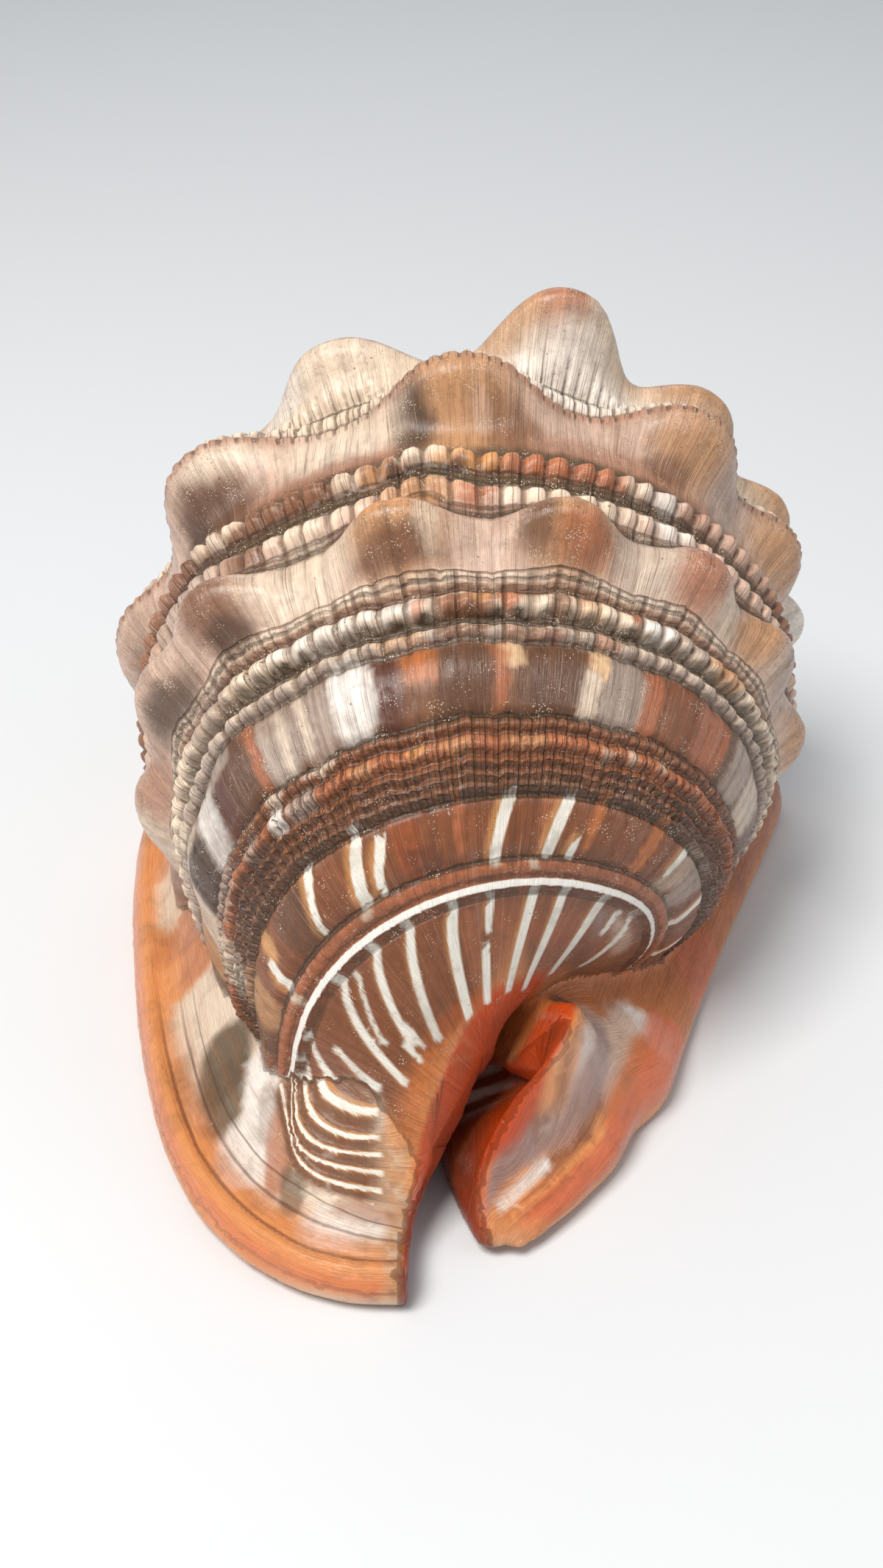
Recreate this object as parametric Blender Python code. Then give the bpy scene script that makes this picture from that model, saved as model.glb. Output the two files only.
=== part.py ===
"""Bullmouth helmet shell (Cypraecassis rufa) as one grown solid.

Frame: +Y to the spire, -Y to the siphonal canal, +X to the inner-lip side, +Z to
the back of the shell. The aperture faces down and the lips stand on z = 0.
"""

import math

import bpy
import numpy as np

MM = 0.001

# Coiling axis and growth, in millimetres and degrees.
APEX = np.array([5.4, 67.4, 41.5])
AXIS_TILT = 10.0
WHORL_RATIO = 1.50
LIP_ANGLE = 222.0
WHORLS = 5

# Body whorl outline: distance down the axis and radius, at the back midline.
OUTLINE_H = (0.0, 6, 12, 15.5, 18, 20.5, 24, 30, 42, 54, 66, 78, 88, 96, 102, 106, 110, 113, 115, 117)
OUTLINE_R = (0.3, 14, 28, 37, 45.5, 50, 52, 52.3, 53.7, 54.3, 51.6, 46.8, 42.1, 37.6, 32, 25.2, 17, 11, 8, 0.3)

# Knob rows: level on the outline, half width along growth, half width along the
# axis, and each knob's growth angle and height.
KNOBS = (
    (21.5, 9.5, 6.5, ((-64, 7), (-34, 8), (-4, 13), (24, 9), (51, 10), (79, 16), (114, 9), (148, 6), (180, 6), (208, 5))),
    (36.0, 10.5, 5.5, ((-36, 4), (-4, 5), (27, 8), (56, 10.5), (94, 9.6), (136, 9), (171, 7), (203, 5))),
    (65.6, 7.8, 4.3, ((-18, 3.4), (8, 4.6), (32, 5.4), (55, 6.4), (79, 7.6), (104, 7.8), (134, 7.2), (152, 6), (176, 5.4), (198, 4))),
    (84.0, 7.0, 5.0, ((10, 1), (30, 1.3), (50, 1.3), (72, 1.1), (90, 1.3), (102, 1.3), (118, 1.3), (141, 2), (164, 2), (188, 1.5))),
)

WALL = 4.2
LIP_FLOOR = 9.5
VOXEL = 1.1
TRIANGLES = 9000


def pchip(xk, yk, x):
    """Monotone cubic through the points (xk, yk)."""
    xk = np.asarray(xk, float)
    yk = np.asarray(yk, float)
    x = np.clip(np.asarray(x, float), xk[0], xk[-1])
    h = np.diff(xk)
    d = np.diff(yk) / h
    m = np.zeros_like(yk)
    w1 = 2 * h[1:] + h[:-1]
    w2 = h[1:] + 2 * h[:-1]
    same = d[:-1] * d[1:] > 0
    a = np.where(same, d[:-1], 1.0)
    b = np.where(same, d[1:], 1.0)
    m[1:-1] = np.where(same, (w1 + w2) / (w1 / a + w2 / b), 0.0)
    m[0] = d[0]
    m[-1] = d[-1]
    i = np.clip(np.searchsorted(xk, x, side="right") - 1, 0, len(h) - 1)
    t = (x - xk[i]) / h[i]
    return (
        (1 + 2 * t) * (1 - t) ** 2 * yk[i]
        + t * (1 - t) ** 2 * h[i] * m[i]
        + t * t * (3 - 2 * t) * yk[i + 1]
        + t * t * (t - 1) * h[i] * m[i + 1]
    )


def smooth(a, b, x):
    t = np.clip((x - a) / (b - a), 0, 1)
    return t * t * (3 - 2 * t)


def growth(angle):
    return WHORL_RATIO ** ((angle - 90) / 360)


TILT = math.radians(AXIS_TILT)
DOWN = np.array([0, -math.cos(TILT), -math.sin(TILT)])
BACK = np.array([0, -math.sin(TILT), math.cos(TILT)])
SIDE = np.array([1.0, 0, 0])


def place(angle, h, r):
    """Cylinder coordinates about the coiling axis to x, y, z."""
    a = np.radians(angle)[..., None]
    return APEX + h[..., None] * DOWN + r[..., None] * (np.cos(a) * SIDE + np.sin(a) * BACK)


def pinch(angle, s):
    """The last part of the whorl draws in before the lip flares."""
    late = smooth(128, 195, angle) * (1 - smooth(97, 107, s))
    return late * (0.09 + 0.08 * smooth(42, 68, s))


def whorl_radius(angle, h):
    """Radius of one whorl at its own growth angle, with its knobs."""
    g = growth(angle)
    s = h / g
    r = pchip(OUTLINE_H, OUTLINE_R, s)
    r = r * (1 - pinch(angle, s))
    for level, wide, tall, knobs in KNOBS:
        for at, high in knobs:
            for turn in (0, -360, -720):
                da = (angle - at - turn) * math.pi / 180 * np.maximum(r, 8) / wide
                ds = (s - level) / tall
                q = da * da + ds * ds
                r = r + high * np.exp(-((q * 0.95) ** 1.3)) * (q < 9)
    return np.where(s < OUTLINE_H[-1], r * g, 0.3)


def body_radius(angle, h):
    r = np.full(angle.shape, 0.3)
    for n in range(WHORLS):
        r = np.maximum(r, whorl_radius(angle - 360 * n, h))
    # The parietal side lies flat above the table.
    fall = -np.sin(np.radians(angle)) * math.cos(TILT)
    room = APEX[2] - h * math.sin(TILT) - 3.0
    limit = np.where(fall > 0.05, room / np.maximum(fall, 0.05), 1e3)
    limit = np.maximum(limit, 1.0)
    return np.where(r < limit - 4, r, limit - 4 + 4 * np.tanh(np.maximum(r - limit + 4, 0) / 4))


def mesh_object(name, verts, faces):
    mesh = bpy.data.meshes.new(name)
    mesh.from_pydata((np.asarray(verts) * MM).tolist(), [], faces)
    mesh.validate()
    obj = bpy.data.objects.new(name, mesh)
    bpy.context.scene.collection.objects.link(obj)
    return obj


def loft(name, rings):
    """A closed solid through the rings, an array (stations, points, 3)."""
    count, size, _ = rings.shape
    verts = list(rings.reshape(-1, 3))
    verts += [rings[0].mean(0), rings[-1].mean(0)]
    faces = []
    for i in range(count - 1):
        for j in range(size):
            k = (j + 1) % size
            faces.append((i * size + j, i * size + k, (i + 1) * size + k, (i + 1) * size + j))
    first = count * size
    last = (count - 1) * size
    for j in range(size):
        k = (j + 1) % size
        faces.append((k, j, first))
        faces.append((last + j, last + k, first + 1))
    obj = mesh_object(name, verts, faces)
    fix_normals(obj)
    return obj


def fix_normals(obj):
    bpy.ops.object.select_all(action="DESELECT")
    bpy.context.view_layer.objects.active = obj
    obj.select_set(True)
    bpy.ops.object.mode_set(mode="EDIT")
    bpy.ops.mesh.select_all(action="SELECT")
    bpy.ops.mesh.normals_make_consistent(inside=False)
    bpy.ops.object.mode_set(mode="OBJECT")


def rails(table, stations, around):
    """Rings from a table (rows, rail points, 3): smooth along and round."""
    table = np.asarray(table, float)
    rows, points, _ = table.shape
    at = np.linspace(0, rows - 1, stations)
    along = np.empty((stations, points, 3))
    for j in range(points):
        for c in range(3):
            along[:, j, c] = pchip(np.arange(rows), table[:, j, c], at)
    t = np.linspace(0, points, around, endpoint=False)
    i = np.floor(t).astype(int)
    f = (t - i)[None, :, None]
    p = [along[:, (i + o) % points] for o in (-1, 0, 1, 2)]
    return 0.5 * (
        2 * p[1]
        + (p[2] - p[0]) * f
        + (2 * p[0] - 5 * p[1] + 4 * p[2] - p[3]) * f * f
        + (3 * p[1] - p[0] - 3 * p[2] + p[3]) * f**3
    )


def apply(obj, kind, **settings):
    mod = obj.modifiers.new(kind.lower(), kind)
    for key, value in settings.items():
        setattr(mod, key, value)
    bpy.ops.object.select_all(action="DESELECT")
    bpy.context.view_layer.objects.active = obj
    obj.select_set(True)
    bpy.ops.object.modifier_apply(modifier=mod.name)


def join(objects, name):
    bpy.ops.object.select_all(action="DESELECT")
    for obj in objects:
        obj.select_set(True)
    bpy.context.view_layer.objects.active = objects[0]
    bpy.ops.object.join()
    objects[0].name = name
    return objects[0]


def cut(obj, cutter):
    apply(obj, "BOOLEAN", operation="DIFFERENCE", object=cutter, solver="EXACT")
    bpy.data.objects.remove(cutter)


# The slit between the lips: position along y, centre and half width.
SLIT_Y = (-46, -38, -20, 0, 20, 38, 50)
SLIT_X = (-7.6, -8.6, -10.2, -12.0, -14.0, -15.0, -14.0)
SLIT_W = (4.7, 4.5, 4.3, 4.2, 4.2, 4.0, 2.8)


def body():
    angles = np.arange(LIP_ANGLE - 360, LIP_ANGLE, 2.0)
    h = np.concatenate([np.linspace(0.2, 30, 46), np.linspace(31, 90, 52), np.linspace(91, 138, 60)])
    a, hh = np.meshgrid(angles, h)
    r = body_radius(a, hh)
    keep = [i for i in range(len(h)) if r[i].max() > 0.5]
    rings = place(a, hh, r)[keep]
    return loft("body", rings)


# Outer lip stations: rim x, y; inward x, y; foot distance and height; y of the
# inner rails; x, z over the middle; x, z of the inner top.
LIP = (
    (-22, 59, 0.30, -0.95, 5, 14, 52, -20, 18, -17, 13),
    (-39, 55, 0.60, -0.80, 5, 14, 48, -33, 19, -18, 13),
    (-50, 46.5, 0.90, -0.45, 6, 14, 42, -36, 18, -20, 13),
    (-54.4, 36, 1.0, -0.15, 6, 14, 34, -40, 18, -21, 13),
    (-55.7, 25, 1.0, 0.0, 6.5, 14, 24, -40, 18, -21, 13),
    (-54.8, 11, 1.0, 0.02, 8, 15, 11, -38, 18, -19, 13),
    (-52.3, -6, 0.98, 0.12, 10, 15, -4, -34, 18, -17, 13),
    (-48.9, -24, 0.95, 0.22, 13, 15.5, -20, -28, 18, -15, 13),
    (-44.6, -40, 0.88, 0.40, 14, 15.5, -33, -22, 19, -12, 15),
    (-39.9, -51.8, 0.80, 0.52, 13, 14.5, -42, -17, 22, -3, 20),
    (-33.7, -61.5, 0.68, 0.70, 11.5, 13, -50, -12, 23, 0.5, 23.5),
    (-27, -68, 0.50, 0.85, 9, 11.5, -56, -12, 16.5, -2.5, 15.5),
    (-19.7, -72.3, 0.28, 0.95, 7.5, 10, -61, -12, 12, -4.5, 10.5),
    (-12, -74.2, 0.08, 1.0, 6, 8, -65, -9.5, 8.6, -5.6, 7),
    (-5.0, -74.4, 0.0, 1.0, 5, 6.8, -69, -6, 6.8, -5, 6),
)


def slit_centre(y):
    return float(pchip(SLIT_Y, SLIT_X, y))


def lip():
    rows = []
    for x, y, nx, ny, foot, high, ys, mx, mz, tx, tz in LIP:
        edge = slit_centre(ys) - 1.0
        if ys < -46:
            edge = max(edge, tx + 0.5)

        def at(d, z):
            return (x + nx * d, y + ny * d, z)

        rows.append(
            [
                at(1.2, 0.4),
                at(0.0, 3.6),
                at(1.8, 7.6),
                at(5.6, 7.4),
                at(foot, high),
                (mx, ys, mz),
                (tx, ys, tz),
                (edge, ys, min(5.5, tz - 0.6)),
                (edge - 1, ys, 1.2),
                ((x + edge) / 2, (y + ys) / 2, -0.8),
            ]
        )
    return loft("lip", rails(rows, 110, 60))


# Inner lip and columellar wall, from the spire end to the tip of the canal. Each
# row: slit foot, slit face, crest in, crest out, outer foot, mid face, rim inner,
# rim top, rim outer, rim under, underside.
SHIELD = (
    ((-12, 54, 2), (-8, 53, 8), (0, 50, 14), (10, 50, 16), (18, 51, 15), (22, 53, 13), (27, 56, 11), (29, 58, 8), (30, 59, 5), (28, 57, -0.5), (10, 54, 1)),
    ((-12, 44, 1.3), (-9, 44, 8), (0, 44, 16), (15, 44, 20), (30, 45, 18), (38, 47, 14), (45, 50, 10.5), (48, 51, 8), (50, 52, 5), (47, 50, -0.5), (18, 46, 1.9)),
    ((-12, 32, 1.3), (-9, 32, 8), (0, 32, 16), (20, 32, 22), (38, 33, 18), (48, 36, 12), (55, 39, 9), (58.5, 40.5, 7.5), (61, 41.5, 4.5), (58, 40, -0.5), (22, 35, 1.9)),
    ((-11, 20, 1.3), (-8, 20, 8), (0, 20, 16), (20, 20, 22), (36, 21, 18), (45, 24, 12), (52, 27.5, 8), (55.5, 29, 7), (57.8, 30, 4), (54.5, 28.5, -0.5), (20, 22, 1.9)),
    ((-9, 6, 1.3), (-6, 6, 8), (0, 6, 16), (18, 6, 22), (32, 8, 18), (40, 11, 12.5), (46, 13.5, 8.5), (49.5, 15, 7), (52, 16, 4), (49, 14.5, -0.5), (18, 10, 1.9)),
    ((-7.5, -8, 1.3), (-5, -8, 8), (0, -8, 15), (14, -8, 22), (26, -7, 19), (33, -4, 14), (39, -1.5, 9.5), (43, 0, 7.5), (46, 1, 4), (43, 0, -0.5), (16, -4, 1.9)),
    ((-6, -22, 1.3), (-4, -22, 8), (0, -22, 15), (9, -22, 22), (18, -22, 21), (26, -19, 15.5), (33, -16.5, 10.5), (37, -15, 8), (40.5, -14, 4.2), (37, -15, -0.5), (15, -19, 1.9)),
    ((-5, -34, 1.3), (-3.5, -34, 7), (2, -34, 13), (9, -35, 22), (15, -34.5, 21.5), (21, -31, 16.5), (28, -28.5, 11.5), (32.5, -27, 8.8), (36, -26, 4.5), (33, -27, -0.5), (14, -31, 1.9)),
    ((-3.5, -44, 1.3), (-2.5, -44, 6), (5, -43.5, 14), (16, -44, 27.5), (18.5, -42.5, 25), (21.6, -40.4, 16.5), (26, -38.5, 12), (29.5, -37.5, 9.5), (32.2, -36.5, 5), (29.5, -37.5, -0.5), (13, -41, 1.9)),
    ((-1.8, -51, 1.3), (-1.4, -51, 6.5), (6, -50, 14.5), (13.6, -50, 25), (15.6, -48.8, 23.5), (20, -46, 13.5), (22.6, -44.2, 10.8), (25, -43.2, 8.8), (27.3, -42.3, 5), (25, -43.2, -0.5), (11, -47, 1.9)),
    ((-0.4, -56, 1.3), (0, -56, 5), (4, -54.2, 10.5), (8, -53, 19.5), (9.8, -52.4, 18.8), (13.3, -52, 9), (17.5, -50.5, 7.8), (21.5, -49.8, 7.5), (24, -49.2, 4.6), (21.5, -50, -0.5), (9, -53, 1.9)),
    ((1, -60, 1.3), (1.2, -60, 3), (2.4, -58.6, 7), (3.8, -57.6, 12.2), (5.4, -57.2, 11.6), (8, -56.4, 6.8), (12, -55.6, 6.2), (16.5, -55.8, 6.2), (19, -55.6, 4), (16.5, -56, -0.5), (8, -58, 1.9)),
    ((2.7, -63.5, 1.3), (2.6, -63.4, 2), (2.6, -62.6, 4.4), (3.2, -61.8, 6.9), (4.4, -61.2, 6.6), (6.2, -60.4, 4.8), (9, -60.2, 4.6), (12, -60.8, 4.8), (14.2, -61, 3.2), (12, -61.4, 1.2), (7, -62, 1.9)),
    ((4.6, -65.6, 1.3), (4.4, -65.5, 1.6), (4.4, -65, 2.8), (5, -64.6, 3.6), (5.6, -64.2, 3.6), (6.6, -64, 3.2), (7.8, -64.2, 3.2), (8.8, -64.6, 3.2), (9.4, -65, 2.4), (8.6, -65.4, 1.2), (6.6, -65.6, 1.9)),
)


def shield():
    return loft("shield", rails(SHIELD, 110, 66))


def lumen():
    """The hollow of the last whorl, opening down to the slit."""
    outer_s = (23, 26, 36, 48, 58, 70, 82, 92, 100, 105, 109)
    inner_s = (110, 104, 95, 86, 79, 75, 71, 64, 54, 42, 30, 24)
    rows = []
    for angle in (248, 240, 230, 220, 208, 195, 180, 160, 140, 120, 100, 80, 60, 40, 20, 0, -20, -40, -60):
        g = growth(min(angle, LIP_ANGLE))
        ring = []
        into = smooth(200, 240, angle)
        near = smooth(70, 140, angle)
        wide = near * (1 - smooth(165, 200, angle))
        for s in outer_s:
            s = min(s, 109 - 7 * near)
            r = (float(pchip(OUTLINE_H, OUTLINE_R, s)) - WALL) * g
            r *= 1 - float(pinch(angle, s))
            ring.append((s * g, r))
        for s in inner_s:
            older = float(pchip(OUTLINE_H, OUTLINE_R, s * WHORL_RATIO)) / WHORL_RATIO + 1.2
            s = min(s, 109 - 7 * near)
            r = max(8.0 + 7.0 * wide, older if s * WHORL_RATIO < 115 else 0.0) * g
            r = r * (1 - into) + 8.0 * into
            ring.append((s * g, r))
        points = []
        for h, r in ring:
            h = h * (1 - into) + (18 + (h - 18) * 0.82) * into
            fall = -math.sin(math.radians(angle)) * math.cos(TILT)
            room = APEX[2] - h * math.sin(TILT) - LIP_FLOOR
            if fall > 0.05:
                r = min(r, room / fall)
            points.append(place(np.array(float(angle)), np.array(h), np.array(r)))
        rows.append(points)
    return loft("lumen", rails(rows, 90, 69))


def slit():
    rows = []
    for y in np.linspace(50, -46, 193):
        c = float(pchip(SLIT_Y, SLIT_X, y))
        w = float(pchip(SLIT_Y, SLIT_W, y))
        wave = 0.9 * math.sin(2 * math.pi * y / 4.3)
        rows.append(
            [
                (c - w - 1.5, y, -3),
                (c - w - 0.4 + wave * 0.8, y, 1.2),
                (c - w + wave, y, 4),
                (c - w - 0.6 + wave * 0.3, y, 7.5),
                (c - w - 2.5, y, 11),
                (c - w - 2.5, y, 15),
                (c + w + 1.0, y, 15),
                (c + w + 0.6, y, 11),
                (c + w + 0.2 + wave * 0.4, y, 7.5),
                (c + w - wave * 0.7, y, 4),
                (c + w + 0.5 - wave * 0.5, y, 1.2),
                (c + w + 1.8, y, -3),
            ]
        )
    return loft("slit", np.array(rows, float))


# The siphonal canal: y and eleven x, z pairs round its section.
CANAL = (
    (-36, (-12.5, -3), (-5, -3), (-4, 5), (2, 8), (6, 9.5), (8, 11), (5, 13), (0, 14), (-5, 14), (-9, 13), (-13, 6)),
    (-43, (-12, -3), (-3.5, -3), (-3, 5), (4, 9), (8, 11), (11, 13), (8, 15), (3, 15.5), (-2, 15.5), (-8, 14), (-12.5, 6)),
    (-45.6, (-11.7, -3), (-3.2, -3), (-2.8, 5), (6, 11), (11.5, 14), (14.5, 16), (12, 17), (7, 16.5), (1, 15.5), (-7, 13), (-12, 6.5)),
    (-46.4, (-11.5, -3), (-3, -3), (-2.5, 5), (9, 13.5), (14.5, 20), (16.3, 36), (8.6, 36), (9, 24), (9.2, 16.5), (-3, 13.5), (-12, 7)),
    (-49, (-10.5, -3), (-2.2, -3), (-1.7, 6), (8.8, 14.5), (13.4, 24), (16, 38), (3.2, 38), (4, 24), (4.8, 15.5), (-5, 12), (-11, 6)),
    (-52, (-9.5, -3), (-1.4, -3), (-1, 6), (5.8, 12), (8.8, 21), (14, 38), (0.4, 38), (1.2, 22), (2.2, 13.5), (-5, 10.5), (-10, 5)),
    (-56, (-8.5, -3), (-0.4, -3), (0.2, 4), (3, 8.5), (4.6, 15), (12, 38), (-2, 38), (-1.7, 16), (-1, 10), (-5, 8), (-9, 4.5)),
    (-60, (-8, -3), (1, -3), (1.4, 3), (2.0, 6), (2.7, 10), (10, 38), (-4.2, 38), (-4.1, 12), (-4, 8), (-5.8, 6), (-8, 3)),
    (-64, (-7, -3), (2.7, -3), (2.8, 1.5), (3, 3), (3.1, 6), (8, 38), (-5.6, 38), (-5.6, 8), (-5.7, 5), (-6.2, 4), (-7, 2)),
    (-68, (-6.4, -3), (7.0, -3), (7.2, 1.5), (7.4, 3), (7.5, 5), (8, 38), (-6.1, 38), (-6.1, 6), (-6.2, 5), (-6.3, 4), (-6.4, 2)),
    (-82, (-6.6, -3), (12, -3), (12, 1.5), (12, 3), (12, 5), (12, 38), (-6.6, 38), (-6.6, 6), (-6.6, 5), (-6.6, 4), (-6.6, 2)),
)


def canal():
    rows = [[(x, y, z) for x, z in points] for y, *points in CANAL]
    table = np.asarray(rows, float)
    at = np.linspace(0, len(rows) - 1, 61)
    rings = np.empty((61, table.shape[1], 3))
    for j in range(table.shape[1]):
        for c in range(3):
            rings[:, j, c] = pchip(np.arange(len(rows)), table[:, j, c], at)
    return loft("canal", rings)


def table_block():
    bpy.ops.mesh.primitive_cube_add(size=1, location=(0, 0, -10 * MM))
    block = bpy.context.active_object
    block.scale = (0.3, 0.3, 20 * MM)
    bpy.ops.object.transform_apply(location=True, rotation=False, scale=True)
    block.name = "table"
    return block


def centre(obj):
    """Put the middle of the footprint on the origin."""
    co = np.array([v.co[:] for v in obj.data.vertices])
    middle = (co.min(0) + co.max(0)) / 2
    print("shift in mm:", np.round(-middle[:2] / MM, 3))
    for v in obj.data.vertices:
        v.co.x -= middle[0]
        v.co.y -= middle[1]
    obj.data.update()


def material():
    mat = bpy.data.materials.new("shell")
    mat.use_nodes = True
    node = mat.node_tree.nodes["Principled BSDF"]
    node.inputs["Base Color"].default_value = (0.42, 0.22, 0.13, 1)
    node.inputs["Roughness"].default_value = 0.38
    node.inputs["Metallic"].default_value = 0.0
    return mat


def build():
    for obj in list(bpy.data.objects):
        bpy.data.objects.remove(obj)
    shell = join([body(), lip(), shield()], "shell")
    apply(shell, "REMESH", mode="VOXEL", voxel_size=VOXEL * MM)
    apply(shell, "SMOOTH", factor=0.5, iterations=3)
    hollow = join([lumen(), slit(), canal()], "hollow")
    apply(hollow, "REMESH", mode="VOXEL", voxel_size=0.8 * MM)
    cut(shell, hollow)
    apply(shell, "REMESH", mode="VOXEL", voxel_size=0.9 * MM)
    apply(shell, "SMOOTH", factor=0.5, iterations=2)
    faces = sum(len(p.vertices) - 2 for p in shell.data.polygons)
    apply(shell, "DECIMATE", ratio=TRIANGLES / faces, use_collapse_triangulate=True)
    cut(shell, table_block())
    apply(shell, "TRIANGULATE")
    centre(shell)
    shell.data.name = "shell"
    shell.data.materials.clear()
    shell.data.materials.append(material())


build()
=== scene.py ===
"""Bullmouth helmet shell: the grown shell at full detail, its floor, light and camera."""

import math

import bpy
import numpy as np
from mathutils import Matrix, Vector
from mathutils.bvhtree import BVHTree


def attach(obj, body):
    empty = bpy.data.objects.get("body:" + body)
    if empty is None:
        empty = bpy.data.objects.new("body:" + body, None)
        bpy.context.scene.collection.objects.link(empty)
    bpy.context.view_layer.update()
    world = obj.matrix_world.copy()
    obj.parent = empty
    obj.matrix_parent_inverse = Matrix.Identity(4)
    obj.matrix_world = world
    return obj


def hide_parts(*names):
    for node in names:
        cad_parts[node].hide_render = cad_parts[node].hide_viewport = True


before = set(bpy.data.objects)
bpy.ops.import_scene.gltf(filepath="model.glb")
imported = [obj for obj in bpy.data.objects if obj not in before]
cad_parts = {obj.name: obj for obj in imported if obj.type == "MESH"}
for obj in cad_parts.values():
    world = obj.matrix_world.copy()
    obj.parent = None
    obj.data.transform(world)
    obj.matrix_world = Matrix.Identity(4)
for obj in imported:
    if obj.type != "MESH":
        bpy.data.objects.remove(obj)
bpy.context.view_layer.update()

MM = 0.001
# The growth tables stand in the maker's own frame; this puts them on the row's middle.
MIDDLE = np.array([-3.297, 3.500, 0.0])

# Coiling axis and growth, in millimetres and degrees.
APEX = np.array([5.4, 67.4, 41.5])
AXIS_TILT = 10.0
WHORL_RATIO = 1.50
LIP_ANGLE = 222.0
WHORLS = 5

# Body whorl outline: distance down the axis and radius, at the back midline.
OUTLINE_H = (0.0, 6, 12, 15.5, 18, 20.5, 24, 30, 42, 54, 66, 78, 88, 96, 102, 106, 110, 113, 115, 117)
OUTLINE_R = (0.3, 14, 28, 37, 45.5, 50, 52, 52.3, 53.7, 54.3, 51.6, 46.8, 42.1, 37.6, 32, 25.2, 17, 11, 8, 0.3)

# Knob rows: level on the outline, half width along growth, half width along the
# axis, and each knob's growth angle and height.
KNOBS = (
    (21.5, 9.5, 6.5, (
        (-64, 7), (-34, 8), (-4, 13), (24, 9), (51, 10), (79, 16), (114, 9), (148, 6), (180, 6), (208, 5),
    )),
    (36.0, 10.5, 5.5, (
        (-36, 4), (-4, 5), (27, 8), (56, 10.5), (94, 9.6), (136, 9), (171, 7), (203, 5),
    )),
    (65.6, 7.8, 4.3, (
        (-18, 3.4), (8, 4.6), (32, 5.4), (55, 6.4), (79, 7.6),
        (104, 7.8), (134, 7.2), (152, 6), (176, 5.4), (198, 4),
    )),
    (84.0, 7.0, 5.0, (
        (10, 1), (30, 1.3), (50, 1.3), (72, 1.1), (90, 1.3),
        (102, 1.3), (118, 1.3), (141, 2), (164, 2), (188, 1.5),
    )),
)

# Millimetres: the wall of the last whorl, and the shell left under its hollow.
WALL = 4.2
LIP_FLOOR = 9.5
# Radius left at the tip of the spire and past the end of a whorl, and how far above
# the table the belly lies.
TIP = 0.3
BELLY_LIFT = 3.0
# Angles turn into widths with at least this radius.
LEAST_RADIUS = 8.0
# The inner column: its radius, and how much it thickens before the lip.
COLUMN = 8.0
COLUMN_SWELL = 7.0
# Grain of the first merge, the hollow and the finished skin, and the triangles kept.
FIRST_VOXEL = 0.85
HOLLOW_VOXEL = 0.8
SKIN_VOXEL = 0.72
TRIANGLES = 192000
# Points along a rim, and which rail of the inner lip is its rim.
RIM_POINTS = 240
RIM_OUTER = 8
# The layers of each rim start their waves here.
LIP_SEED = 0.7
SHIELD_SEED = 2.1

# Growth-line numbers run apart on each part, so that no line crosses from one to the next.
RIM_LINES = 1.6
LIP_START = 300.0
SHIELD_START = 600.0
# What stripes and levels say on the parts that have none.
NO_STRIPE = -3.0
NO_LEVEL = 110.0

# The camera, in the maker's frame: millimetres and degrees down.
CAMERA_AIM = np.array([-1.9, -7.6, 40.0])
CAMERA_DISTANCE = 268.5
CAMERA_PITCH = 36.0
FOCAL_LENGTH = 40.5443

# Colours, as they look in daylight.
WHITE = (232, 224, 215)
CREAM = (220, 200, 178)
BUTTER = (226, 188, 148)
PINK = (202, 172, 153)
ROSE = (172, 128, 106)
ASH = (168, 150, 137)
TAN = (186, 140, 102)
APRICOT = (218, 148, 98)
HONEY = (206, 150, 98)
ORANGE = (190, 114, 68)
COPPER = (172, 106, 76)
RUST = (158, 82, 48)
CHESTNUT = (130, 80, 54)
BROWN = (120, 82, 60)
UMBER = (96, 66, 49)
MAROON = (86, 48, 38)
OLIVE = (92, 76, 56)
DARK = (62, 47, 37)
CORAL = (196, 80, 48)
SALMON = (206, 112, 80)
MAUVE = (160, 134, 128)
CHALK = (236, 230, 218)
BONE = (232, 226, 214)
SNOW = (238, 234, 226)


def pchip(xk, yk, x):
    """Monotone cubic through the points (xk, yk)."""
    xk = np.asarray(xk, float)
    yk = np.asarray(yk, float)
    x = np.clip(np.asarray(x, float), xk[0], xk[-1])
    h = np.diff(xk)
    d = np.diff(yk) / h
    m = np.zeros_like(yk)
    w1 = 2 * h[1:] + h[:-1]
    w2 = h[1:] + 2 * h[:-1]
    same = d[:-1] * d[1:] > 0
    a = np.where(same, d[:-1], 1.0)
    b = np.where(same, d[1:], 1.0)
    m[1:-1] = np.where(same, (w1 + w2) / (w1 / a + w2 / b), 0.0)
    m[0] = d[0]
    m[-1] = d[-1]
    i = np.clip(np.searchsorted(xk, x, side="right") - 1, 0, len(h) - 1)
    t = (x - xk[i]) / h[i]
    return (
        (1 + 2 * t) * (1 - t) ** 2 * yk[i]
        + t * (1 - t) ** 2 * h[i] * m[i]
        + t * t * (3 - 2 * t) * yk[i + 1]
        + t * t * (t - 1) * h[i] * m[i + 1]
    )


def smooth(a, b, x):
    t = np.clip((x - a) / (b - a), 0, 1)
    return t * t * (3 - 2 * t)


def growth(angle):
    return WHORL_RATIO ** ((angle - 90) / 360)


TILT = math.radians(AXIS_TILT)
DOWN = np.array([0, -math.cos(TILT), -math.sin(TILT)])
BACK = np.array([0, -math.sin(TILT), math.cos(TILT)])
SIDE = np.array([1.0, 0, 0])


def place(angle, h, r):
    """Cylinder coordinates about the coiling axis to x, y, z."""
    a = np.radians(angle)[..., None]
    return APEX + h[..., None] * DOWN + r[..., None] * (np.cos(a) * SIDE + np.sin(a) * BACK)


def pinch(angle, s):
    """The last part of the whorl draws in before the lip flares."""
    late = smooth(128, 195, angle) * (1 - smooth(97, 107, s))
    return late * (0.09 + 0.08 * smooth(42, 68, s))


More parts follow.
